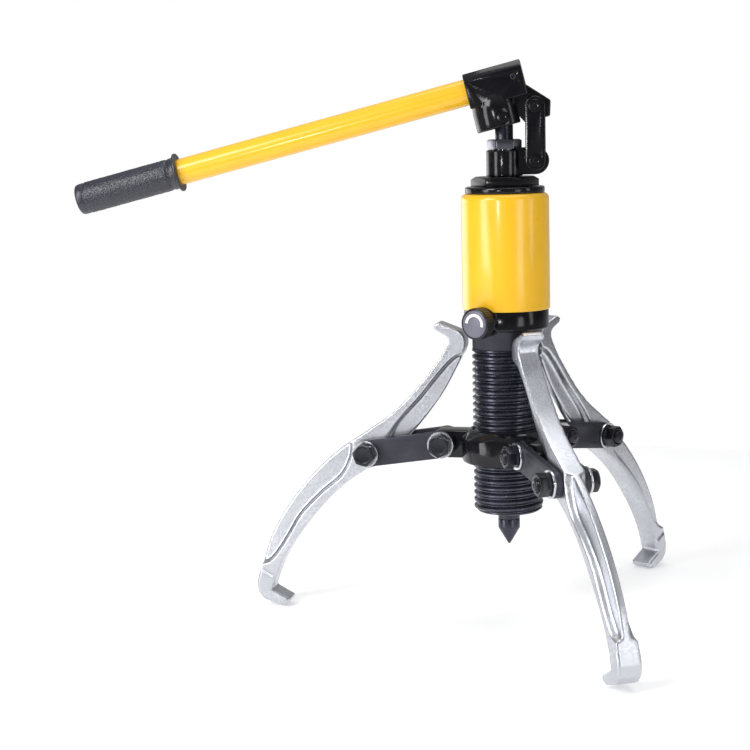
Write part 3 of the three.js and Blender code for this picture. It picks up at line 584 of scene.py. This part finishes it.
# ------------------------------------------------------------------ pump


def pump_cylinder():
    bottom, shoulder = COLLAR_TO + 0.3, RESERVOIR_TOP + 15.3
    profile = [(0, bottom), (COLUMN_R, bottom), (COLUMN_R, shoulder), (BARREL_R - 0.4, shoulder),
               (BARREL_R, shoulder + 0.5), (BARREL_R, BARREL_TOP - 1.6), (15.2, BARREL_TOP), (0, BARREL_TOP)]
    barrel = lathe("pump_cylinder", profile, 128)
    lug = prism("lug", stadium(8, LOWER_PIN_Z, LINK_X, LOWER_PIN_Z, 12.2, 24), -LUG_HALF, LUG_HALF)
    lug = cut(lug, cross_rod("hole", LINK_HOLE_R, LINK_X, LOWER_PIN_Z, -12, 12))
    barrel = join(barrel, rounded(lug, 0.9, 3))
    bore = rod("bore", PLUNGER_R + 0.3, PUMP_BORE_END, BARREL_TOP + 3, 64)
    counterbore = rod("counter", 11.3, COUNTERBORE_END, BARREL_TOP + 3, 64)
    piece(rounded(cut(barrel, bore, counterbore), 0.4, 2), "body", BLACK, ["pump_cylinder"])


def gland_nut():
    low, top = BARREL_TOP - 7, BARREL_TOP + 9.5
    bore = PLUNGER_R + 0.25
    nut = hexagon("gland_nut", GLAND_FLATS, BARREL_TOP + 0.3, top, True, True)
    profile = [(0, low), (bore, low), (bore, top - 0.9), (9.4, top + 0.5), (0, top + 0.5)]
    nut = cut(nut, lathe("bore", profile, 64))
    collar = tube("gland_collar", PLUNGER_R + 0.3, 11, BARREL_TOP - 9, BARREL_TOP + 0.6, 64)
    piece(rounded(nut, 0.3, 2, 25), "body", DULL, ["gland_nut"], turned(4.5, "Z"), angle=25)
    piece(collar, "body", DULL)


def plunger():
    r, eye = PLUNGER_R, PLUNGER_PIN_Z
    profile = [(0, PLUNGER_END), (r - 0.4, PLUNGER_END), (r, PLUNGER_END + 0.4), (r, 389), (r - 0.3, 390),
               (r - 0.3, 391), (r, 392), (r, 404), (r - 0.6, 404.4), (0, 404.4)]
    shaft = lathe("plunger_rod", profile, 96)
    crown = moved(rod("crown", r, -9.2, 9.2, 64), shift(0, 0, eye) @ turned(90, "X"))
    shaft = meet(shaft, join(crown, block("keep", -9, 9, -9, 9, PLUNGER_END - 4, eye)))
    slot = prism("eye", stadium(-EYE_SLIDE, eye, EYE_SLIDE, eye, PLUNGER_EYE_R, 16), -10, 10)
    piece(rounded(cut(shaft, slot), 0.25, 2), "plunger", THREAD, ["plunger"])


def pump_links():
    for name, y0, y1 in (("pump_link_front", -PUMP_LINK_TO, -PUMP_LINK_FROM),
                         ("pump_link_rear", PUMP_LINK_FROM, PUMP_LINK_TO)):
        link = prism(name, stadium(LINK_X, LOWER_PIN_Z, LINK_X, UPPER_PIN_Z, 9, 24), y0, y1)
        for z in (LOWER_PIN_Z, UPPER_PIN_Z):
            cut(link, cross_rod("hole", LINK_HOLE_R, LINK_X, z, -20, 20))
        piece(rounded(link, 0.8, 3), "pump_links", BLACK, [name])
    for name, z in (("link_pin_lower", LOWER_PIN_Z), ("link_pin_upper", UPPER_PIN_Z)):
        pin(name, LINK_PIN_R, LINK_X, z, 17.0, "pump_links")


def pin(node, r, x, z, reach, body, place=None):
    """A headed pin along Y with a retaining ring in a groove at the far end."""
    profile = [(0, -reach + 0.5), (r * 0.4, -reach + 0.5), (r * 0.5, -reach + 0.1), (r * 0.62, -reach),
               (r * 0.8, -reach), (r + 1.0, -reach + 0.2), (r + 1.25, -reach + 0.6),
               (r + 1.25, -reach + 1.4), (r, -reach + 1.4), (r, reach - 1.5), (r - 0.7, reach - 1.5),
               (r - 0.7, reach - 0.7), (r, reach - 0.7), (r, reach - 0.3), (r - 0.4, reach), (0, reach)]
    turn = shift(x, 0, z) @ turned(-90, "X")
    shaft = moved(lathe(node, profile, 48), turn)
    piece(shaft, body, BLACK, [node], place, angle=25)
    clip = tube(node + "_ring", r - 0.65, r + 1.2, reach - 1.45, reach - 0.75, 48)
    gap = moved(block("gap", 0, 12, -1, 1, -1.6, 1.6), shift(0, 0, reach - 1.1) @ turned(90, "X"))
    clip = moved(rounded(cut(clip, gap), 0.15, 1), turn)
    piece(clip, body, ZINC, (), place)


# ------------------------------------------------------------------ handle

HANDLE = shift(0, 0, HANDLE_Z) @ turned(-TILT, "Y")
ALONG_HANDLE = HANDLE @ turned(90, "Y")
SCREW_TURN = shift(SCREW_X, 0, SCREW_Z) @ turned(90, "X")


def in_handle(x, z):
    """A point of the row frame's XZ plane, as the handle's own frame sees it."""
    across, up = math.cos(math.radians(TILT)), math.sin(math.radians(TILT))
    return x * across + (z - HANDLE_Z) * up, -x * up + (z - HANDLE_Z) * across


def plunger_room(x, z):
    """The space that the plunger's eye sweeps in the rocker over the stroke, a fan round its pin."""
    down = -90 - TILT
    first, last = down - 6, down + 42
    half, reach = 10.8, 26
    fan = arc(x, z, half, last + 90, first + 270, 16)
    for angle, hand in ((math.radians(first), -1), (math.radians(last), 1)):
        aside = angle + math.pi / 2
        fan.append((x + reach * math.cos(angle) + hand * half * math.cos(aside),
                    z + reach * math.sin(angle) + hand * half * math.sin(aside)))
    return prism("room", fan, -LUG_HALF, LUG_HALF)


def rocker():
    eye_x, eye_z = in_handle(0, PLUNGER_PIN_Z)
    link_x, link_z = in_handle(LINK_X, UPPER_PIN_Z)
    half, deep, corner = 17, 16, 6
    section = [(-half, -deep), (half, -deep), (half, deep - corner), (half - corner, deep),
               (corner - half, deep), (-half, deep - corner)]
    socket = moved(prism("rocker", section, -19, 34), turned(90, "Z"))
    hem = -38.5
    profile = [(0, hem), (21.3, hem), (21.3, -22), (20.9, -18), (19.6, -13), (17.4, -8.5), (14, -5), (0, -4)]
    skirt = moved(lathe("skirt", profile, 96), shift(-12.7, 0, 0))
    outline = [(-5, -10), (19, -7), (link_x + 14.8, link_z + 1.6), (link_x + 10.8, link_z - 12),
               (link_x - 9, link_z - 12), (-2, hem)]
    tongue = prism("tongue", outline, -9.7, 9.7)
    socket = join(rounded(socket, 1.1, 3), rounded(skirt, 1.4, 3), rounded(tongue, 1.3, 3))
    bore = moved(rod("bore", TUBE_R + 0.3, -60, 15.3, 72), turned(90, "Y"))
    socket = cut(socket, bore, plunger_room(eye_x, eye_z),
                 cross_rod("hole", PLUNGER_PIN_R + 0.3, eye_x, eye_z, -25, 25),
                 cross_rod("hole", LINK_HOLE_R, link_x, link_z, -12, 12),
                 cross_rod("hole", 3.4, SCREW_X, SCREW_Z, -20, -8, 32))
    piece(rounded(socket, 0.35, 2, 45), "lever", BLACK, ["rocker"], HANDLE)
    pin("plunger_pin", PLUNGER_PIN_R, eye_x, eye_z, 22.9, "lever", HANDLE)


def set_screw():
    profile = [(0, 12.4), (2.5, 12.4), (2.9, 12.9), (2.9, 16.2), (2.6, 16.5), (0, 16.5)]
    screw = moved(lathe("handle_set_screw", profile, 32), SCREW_TURN)
    key = moved(hexagon("key", 3, 14.2, 18, False, False), SCREW_TURN)
    piece(rounded(cut(screw, key), 0.12, 1), "lever", OXIDE, ["handle_set_screw"], HANDLE)


def handle_tube():
    inner = TUBE_R - 2
    profile = [(inner, TUBE_END), (TUBE_R, TUBE_END), (TUBE_R, 14.6), (TUBE_R - 0.4, 15), (inner, 15),
               (inner, TUBE_END)]
    piece(lathe("handle_tube", profile, 96), "lever", YELLOW, ["handle_tube"], ALONG_HANDLE)


def pebbled(r, angle, z):
    """The raised pebbles of the grip, one to each cell, between its plain ends."""
    if not PEBBLES_FROM + 0.2 < z < PEBBLES_TO - 0.2 or r < 14:
        return 0.0
    place = Vector((math.cos(angle) * 14.5, math.sin(angle) * 14.5, z))
    nearest = noise.voronoi(place * 0.62)[0]
    return 0.42 * min(1.0, (nearest[1] - nearest[0]) * 1.9) - 0.12


def handle_grip():
    """The rubber grip: a closed end, the pebbled length and a flange towards the rocker."""
    profile = [(0, -410.2), (6, -410.4), (11.4, -410.6), (12.8, -410.3), (13.9, -409.3), (14.3, -407.8)]
    profile += [(14.5, -403.2), (14.2, -402.7), (14.1, -402), (14.3, -401.5), (GRIP_R, PEBBLES_FROM)]
    steps = 160
    length = PEBBLES_TO - PEBBLES_FROM
    profile += [(GRIP_R, PEBBLES_FROM + length * k / steps) for k in range(1, steps + 1)]
    profile += [(14.2, -320.6), (14.2, -318.4), (14.7, -318), (14.9, -315), (15.3, -313.4), (17.0, -312.9),
                (17.7, -312.5), (17.9, -311.9), (17.9, -310.8), (17.6, -310.2), (17, -310), (12.9, -310),
                (12.3, -310.6), (12.3, TUBE_END - 0.3), (0, TUBE_END - 0.3)]
    grip = lathe("handle_grip", profile, 240, pebbled)
    piece(grip, "lever", RUBBER, ["handle_grip"], ALONG_HANDLE, angle=50)


# ------------------------------------------------------------------ release valve


def knurl(r, angle, z):
    """The fine ribs round the knob's rim."""
    return 0.0 if r < 14 or not 43.5 < z < 53.5 else 0.22 * (math.cos(KNURL_RIBS * angle) - 1)


def release_valve():
    r = KNOB_R
    profile = [(0, 42), (11.9, 42), (13.6, 42.8), (14.2, 43.4), (r, 43.6), (r, 44.4), (r, 48), (r, 52.6),
               (r, 53.4), (14.2, 53.8), (13.4, 54.5), (12.6, 54.7), (12.3, 54.1), (0, 54.1)]
    knob = lathe("release_knob", profile, KNURL_RIBS * 8, knurl)
    piece(knob, "release_valve", KNOB_BODY, ["release_knob"], KNOB_TURN, angle=30)
    face = lathe("knob_face", [(0, 54.0), (12.2, 54.0), (12.2, 54.5), (11.9, 54.75), (0, 54.75)], 96)
    piece(face, "release_valve", KNOB, (), KNOB_TURN)
    sweep = arc(0, 0, 9.4, 15, 205, 32) + list(reversed(arc(0, 0, 6.9, 15, 205, 32)))
    mark = moved(prism("knob_arc", sweep, 0, 0.12), turned(90, "X"))
    mark = moved(mark, shift(0, 0, 54.87) @ turned(-80, "Z"))
    piece(mark, "release_valve", WHITE, (), KNOB_TURN)
    screw = lathe("knob_screw", [(0, 54.7), (2.6, 54.7), (2.6, 54.8), (2.2, 54.95), (0, 54.95)], 48)
    piece(screw, "release_valve", KNOB, (), KNOB_TURN)


# ------------------------------------------------------------------ ring nut


def arm_frame(azimuth, x=0.0, z=0.0):
    """The frame of an arm: X points out of the ring, and Y runs along the bolts."""
    return turned(azimuth, "Z") @ shift(x, 0, z)


def ring_nut():
    bore = RING_BORE_R
    low, high = RING_FROM, RING_TO
    profile = [(bore, low + 1), (33.8, low), (41.3, low), (42.4, low + 0.7), (43, low + 2.2),
               (43, high - 8.8), (42.5, high - 7.5), (35.4, high - 0.4), (34.6, high), (33.7, high),
               (bore, high - 0.8), (bore, low + 1)]
    ring = lathe("ring_nut", profile, 144)
    for azimuth, _, _ in ARMS:
        outline = stadium(PIVOT_R - 24, PIVOT_Z, PIVOT_R, PIVOT_Z, EAR_R, 24)
        ear = prism("ear", outline, -LUG_HALF, LUG_HALF)
        ring = join(ring, moved(rounded(ear, 1.0, 3), arm_frame(azimuth)))
    flat = block("spanner_flat", SPANNER_FLAT, 50, -18, 18, low - 2, high + 1.6)
    ring = cut(ring, rod("bore", bore, 70, 130, 144), moved(flat, arm_frame(SPANNER_FLAT_AZIMUTH)))
    for azimuth, _, _ in ARMS:
        hole = cross_rod("hole", BOLT_HOLE_R, PIVOT_R, PIVOT_Z, -14, 14)
        ring = cut(ring, moved(hole, arm_frame(azimuth)))
    piece(rounded(ring, 0.5, 2, 40), "ring", BLACK, ["ring_nut"])


# ------------------------------------------------------------------ bolts, nuts, washers, links


def bolt_head():
    top = CLAMP_FROM + HEAD_HEIGHT
    head = hexagon("bolt", BOLT_FLATS, CLAMP_FROM, top, False, True)
    dish = lathe("dish", [(0, top - 0.4), (6.6, top - 0.4), (7.2, top), (7.2, 40), (0, 40)], 48)
    return rounded(cut(head, dish), 0.28, 2, 25)


def bolt_shank():
    """The shank, threaded where it stands out of the nut, with a centre mark in its end."""
    end = -(CLAMP_FROM + NUT_HEIGHT + BOLT_TIP)
    profile = [(0, end + 0.5), (1.6, end + 0.5), (2.0, end), (4.7, end), (5.0, end + 0.2), (5.75, end + 1.0)]
    z = end + 1.3
    while z < -CLAMP_FROM - 9:
        profile += [(BOLT_R, z), (BOLT_R - 0.6, z + BOLT_PITCH / 2)]
        z += BOLT_PITCH
    profile += [(BOLT_R, -CLAMP_FROM - 8), (BOLT_R, CLAMP_FROM + 1), (0, CLAMP_FROM + 1)]
    return lathe("shank", profile, 32)


def nut_mesh():
    top = CLAMP_FROM + NUT_HEIGHT
    nut = hexagon("nut", BOLT_FLATS, CLAMP_FROM, top, True, True)
    profile = [(0, 0), (BOLT_HOLE_R, 0), (BOLT_HOLE_R, top - 0.8), (7.1, top + 0.1), (7.1, 50), (0, 50)]
    return rounded(cut(nut, lathe("bore", profile, 48)), 0.28, 2, 25)


def washer_mesh():
    hole, rim = BOLT_HOLE_R, 12.6
    low, high = WASHER_FROM, WASHER_FROM + 2.2
    profile = [(hole, low + 0.2), (hole + 0.3, low), (rim - 0.3, low), (rim, low + 0.3), (rim, high - 0.4),
               (rim - 0.3, high), (hole + 0.3, high), (hole, high - 0.2), (hole, low + 0.2)]
    return lathe("washer", profile, 72)


def link_mesh(y0, y1):
    link = prism("link", stadium(0, 0, LINK_LENGTH, 0, ARM_LINK_R, 24), y0, y1)
    for x in (0, LINK_LENGTH):
        cut(link, cross_rod("hole", BOLT_HOLE_R, x, 0, -30, 30))
    return rounded(link, 0.55, 3)


# ------------------------------------------------------------------ jaws

# Outlines in the XZ plane of an arm, from the jaw's bolt: X out of the ring, Z up.
LOWER_BACK = [(10, 14), (28.3, 1.8), (48.8, -15.8), (69.5, -38.5), (87, -63), (101, -89), (109.5, -117)]
LOWER_FRONT = [(94.5, -126), (86, -107), (73, -86), (57, -65.5), (40, -46.5), (20, -29), (0, -15.4)]
UPPER_BACK = [(0, -15.4), (-22, -2), (-42, 18.5), (-59.5, 39.5), (-74, 60), (-86, 82), (-93, 96)]
UPPER_FRONT = [(-79.5, 105), (-71, 90.5), (-61, 77.3), (-41.7, 54.5), (-22.5, 36.5), (-3, 22.7), (10, 14)]
HOOK = [(-95.4, 102), (-95.6, 108), (-93.6, 113.5), (-89.5, 117.3), (-70, 124.6), (-65.5, 121.8),
        (-66.8, 117.8), (-77, 112.5), (-79.5, 109.5)]
TOE = [(113.5, -131), (112.5, -141), (106.5, -148), (88, -153.2), (82.5, -151.3), (80.5, -146.5),
       (98.5, -137)]
LOWER_POCKET = [(107, -113), (97.5, -108.6), (84, -91), (67, -63.5), (46.6, -42), (26.8, -25), (18, -11),
                (14.6, 0.4), (14.5, 11)]
LOWER_BEYOND = [(30, 20), (100, -40), (125, -110)]
UPPER_POCKET = [(-93, 97), (-84, 93), (-71.3, 80.2), (-51.2, 55.6), (-31.9, 34.6), (-20, 18), (-15.6, 4),
                (-15, -8)]
UPPER_BEYOND = [(-25, -20), (-60, 0), (-105, 60), (-112, 97)]


def jaw_outline():
    lower = [LOWER_BACK[0]] + curve_through(LOWER_BACK) + TOE + [LOWER_FRONT[0]] + curve_through(LOWER_FRONT)
    upper = curve_through(UPPER_BACK) + HOOK + [UPPER_FRONT[0]] + curve_through(UPPER_FRONT)[:-1]
    return lower + upper


def pocket(line, beyond, side):
    """The recess beside the web on one side, from its drafted wall out past the jaw's back."""
    wall = [line[0]] + curve_through(line)
    foot, mouth = shifted(wall, 2.9) + beyond, shifted(wall, -0.9) + beyond
    return prism("pocket", foot, WEB_HALF * side, 12 * side, mouth)


def jaw_mesh():
    jaw = prism("jaw", jaw_outline(), -JAW_HALF, JAW_HALF)
    jaw = join(jaw, cross_rod("boss", 15.2, 0, 0, -JAW_HALF, JAW_HALF, 64))
    for line, beyond in ((LOWER_POCKET, LOWER_BEYOND), (UPPER_POCKET, UPPER_BEYOND)):
        for side in (1, -1):
            cut(jaw, pocket(line, beyond, side))
    toe = prism("toe", [LOWER_BACK[-1]] + TOE + [LOWER_FRONT[0]], -11.2, 11.2)
    jaw = join(jaw, rounded(toe, 2.6, 4))
    return forged(cut(jaw, cross_rod("hole", BOLT_HOLE_R, 0, 0, -12, 12, 48)))


# ------------------------------------------------------------------ arms


def copy_of(obj, name):
    twin = bpy.data.objects.new(name, obj.data.copy())
    bpy.context.scene.collection.objects.link(twin)
    return twin


def clamp(shapes, end, number, here, spin):
    """A bolt, its nut and their two washers, through the two links of an arm."""
    to_head, to_nut = here @ turned(-90, "X"), here @ turned(90, "X")
    for shape, name, node, slot, look, place, angle in (
            ("head", "bolt_head", "bolt", "black_oxide", BOLT, to_head @ spin, 25),
            ("shank", "bolt_shank", None, "black_oxide", BOLT, to_head, 40),
            ("nut", "hex_nut", "nut", "black_oxide", BOLT, to_nut @ spin, 25),
            ("washer", "washer_a", "head_washer", "zinc", ZINC, to_head, 40),
            ("washer", "washer_b", "nut_washer", "zinc", ZINC, to_nut, 40)):
        solid = copy_of(shapes[shape], f"{end}_{name}_{number}")
        replaced = [f"{end}_{node}_{number}"] if node else []
        piece(solid, f"link_{number}", look, replaced, place, angle)


def arm(shapes, number, azimuth, droop, lean):
    hang = turned(droop, "Y")
    at_link = arm_frame(azimuth, PIVOT_R, PIVOT_Z) @ hang
    for plate in ("link_a", "link_b"):
        solid = copy_of(shapes[plate], f"{plate}_{number}_plate")
        piece(solid, f"link_{number}", OXIDE, [f"{plate}_{number}"], at_link)
    for end, x, turn in (("inner", 0, 0), ("outer", LINK_LENGTH, 23)):
        clamp(shapes, end, number, at_link @ shift(x, 0, 0), turned(17 * number + turn, "Z"))
    bolt = hang @ Vector((LINK_LENGTH, 0, 0))
    at_jaw = arm_frame(azimuth, PIVOT_R + bolt.x, PIVOT_Z + bolt.z) @ turned(lean, "Y")
    solid = copy_of(shapes["jaw"], f"forged_jaw_{number}")
    piece(solid, f"jaw_{number}", FORGED, [f"jaw_{number}"], at_jaw, angle=70)


def arms():
    shapes = {
        "head": bolt_head(),
        "shank": bolt_shank(),
        "nut": nut_mesh(),
        "washer": washer_mesh(),
        "jaw": jaw_mesh(),
        "link_a": link_mesh(ARM_LINK_FROM, ARM_LINK_TO),
        "link_b": link_mesh(-ARM_LINK_TO, -ARM_LINK_FROM),
    }
    for number, (azimuth, droop, lean) in enumerate(ARMS, 1):
        arm(shapes, number, azimuth, droop, lean)
    for shape in shapes.values():
        bpy.data.objects.remove(shape)


# ------------------------------------------------------------------ hidden pieces that keep their CAD mesh


def hidden_pieces():
    for node, finish, slot in (("piston_seal", SEAL, "seal"), ("plunger_seal", SEAL, "seal"),
                               ("return_spring", STEEL, "steel"), ("suction_ball", STEEL, "steel"),
                               ("release_spindle", STEEL, "steel")):
        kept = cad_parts[node]
        kept.data.materials.clear()
        kept.data.materials.append(finish)
        smooth(kept, 50)


# ------------------------------------------------------------------ stage, light, camera


def floor():
    """A round of bright paper under the toes, at the CAD's lowest point to a tenth of a millimetre."""
    level = round(START_LOW[2], 4)
    angles = [math.radians(a) for a in range(0, 360, 3)]
    verts = [(FLOOR_R * math.cos(a), FLOOR_R * math.sin(a), level) for a in angles]
    mesh = bpy.data.meshes.new("floor")
    mesh.from_pydata(verts, [], [tuple(range(len(verts)))])
    sheet = bpy.data.objects.new("floor", mesh)
    bpy.context.scene.collection.objects.link(sheet)
    paper = bpy.data.materials.new("paper")
    paper.use_nodes = True
    shader = paper.node_tree.nodes["Principled BSDF"]
    shader.inputs["Base Color"].default_value = (0.93, 0.93, 0.93, 1)
    shader.inputs["Roughness"].default_value = 0.9
    shader.inputs["Specular IOR Level"].default_value = 0.1
    shader.inputs["Emission Color"].default_value = (1, 1, 1, 1)
    shader.inputs["Emission Strength"].default_value = 0.28
    mesh.materials.append(paper)


def backdrop():
    """White to the camera. Reflections see grey, darkest just above the horizon and lighter behind."""
    world = bpy.data.worlds.new("studio")
    bpy.context.scene.world = world
    world.use_nodes = True
    nodes, links = world.node_tree.nodes, world.node_tree.links
    background = nodes["Background"]
    where = nodes.new("ShaderNodeTexCoord")
    split = nodes.new("ShaderNodeSeparateXYZ")
    links.new(where.outputs["Generated"], split.inputs["Vector"])
    sky = nodes.new("ShaderNodeValToRGB")
    sky.color_ramp.elements[0].position = 0.0
    sky.color_ramp.elements[0].color = (0.5, 0.5, 0.5, 1)
    sky.color_ramp.elements[1].position = 1.0
    sky.color_ramp.elements[1].color = (0.75, 0.76, 0.78, 1)
    for place, level in ((0.46, 0.32), (0.56, 0.10), (0.7, 0.16), (0.82, 0.55)):
        sky.color_ramp.elements.new(place).color = (level, level, level * 1.03, 1)
    height = nodes.new("ShaderNodeMapRange")
    height.inputs["From Min"].default_value = -1.0
    links.new(split.outputs["Z"], height.inputs["Value"])
    links.new(height.outputs["Result"], sky.inputs["Fac"])
    behind = nodes.new("ShaderNodeMapRange")
    behind.inputs["From Min"].default_value = 0.35
    behind.inputs["From Max"].default_value = 0.95
    behind.inputs["To Max"].default_value = 0.5
    links.new(split.outputs["Y"], behind.inputs["Value"])
    lift = nodes.new("ShaderNodeMix")
    lift.data_type = "RGBA"
    lift.inputs["B"].default_value = (1, 1, 1, 1)
    links.new(behind.outputs["Result"], lift.inputs["Factor"])
    links.new(sky.outputs["Color"], lift.inputs["A"])
    links.new(lift.outputs["Result"], background.inputs["Color"])
    background.inputs["Strength"].default_value = 0.7
    seen = nodes.new("ShaderNodeBackground")
    seen.inputs["Color"].default_value = (1, 1, 1, 1)
    choose = nodes.new("ShaderNodeMixShader")
    links.new(nodes.new("ShaderNodeLightPath").outputs["Is Camera Ray"], choose.inputs["Fac"])
    links.new(background.outputs["Background"], choose.inputs[1])
    links.new(seen.outputs["Background"], choose.inputs[2])
    links.new(choose.outputs["Shader"], nodes["World Output"].inputs["Surface"])


def area(name, place, aim, width, height, power):
    """A softbox in metres and watts, facing the point that it is aimed at."""
    data = bpy.data.lights.new(name, "AREA")
    data.shape = "RECTANGLE"
    data.size, data.size_y, data.energy = width, height, power
    lamp = bpy.data.objects.new(name, data)
    lamp.location = place
    lamp.rotation_mode = "QUATERNION"
    lamp.rotation_quaternion = (Vector(aim) - Vector(place)).to_track_quat("-Z", "Y")
    bpy.context.scene.collection.objects.link(lamp)


def lights():
    area("key", (-1.05, -1.15, 1.15), (0, 0, 0.15), 0.7, 0.7, 15)
    area("strip", (-1.3, -0.93, 0.3), (0, 0, 0.2), 0.45, 1.0, 9)
    area("glint", (-0.42, -1.49, 0.368), (0, 0, 0.36), 0.12, 0.145, 2.4)
    area("front_right", (1.0, -1.18, 0.25), (0, 0, 0.15), 0.4, 0.8, 3.5)
    area("right", (1.6, -0.5, 0.6), (0, 0, 0.15), 0.3, 1.2, 3)
    area("top", (0.1, 0.25, 1.7), (0, 0, 0.2), 1.1, 0.8, 8)
    area("back_left", (-1.25, 1.15, 0.15), (0, 0, 0.05), 1.2, 0.9, 7)


def camera():
    """Stands where the photograph was taken from, level first and then tipped by its pitch and roll."""
    across = Vector((math.cos(CAMERA_YAW), math.sin(CAMERA_YAW), 0))
    away = Vector((-math.sin(CAMERA_YAW), math.cos(CAMERA_YAW), 0))
    level_up = away * math.sin(CAMERA_PITCH) + Vector((0, 0, math.cos(CAMERA_PITCH)))
    forward = away * math.cos(CAMERA_PITCH) - Vector((0, 0, math.sin(CAMERA_PITCH)))
    right = across * math.cos(CAMERA_ROLL) + level_up * math.sin(CAMERA_ROLL)
    up = level_up * math.cos(CAMERA_ROLL) - across * math.sin(CAMERA_ROLL)
    data = bpy.data.cameras.new("camera")
    data.sensor_width = 36
    data.lens = LENS
    data.clip_start, data.clip_end = 0.05, 50
    eye = bpy.data.objects.new("camera", data)
    turn = Matrix((right, up, -forward)).transposed().to_4x4()
    eye.matrix_world = shift(*CAMERA_PLACE) @ turn
    bpy.context.scene.collection.objects.link(eye)
    bpy.context.scene.camera = eye


# ------------------------------------------------------------------ build

threaded_body()
valve_block()
ram()
ram_gland()
reservoir()
reservoir_cap()
filler_plug()
pump_cylinder()
gland_nut()
plunger()
pump_links()
rocker()
set_screw()
handle_tube()
handle_grip()
release_valve()
ring_nut()
arms()
hidden_pieces()
floor()
backdrop()
lights()
camera()
bpy.context.scene.view_settings.view_transform = "Standard"
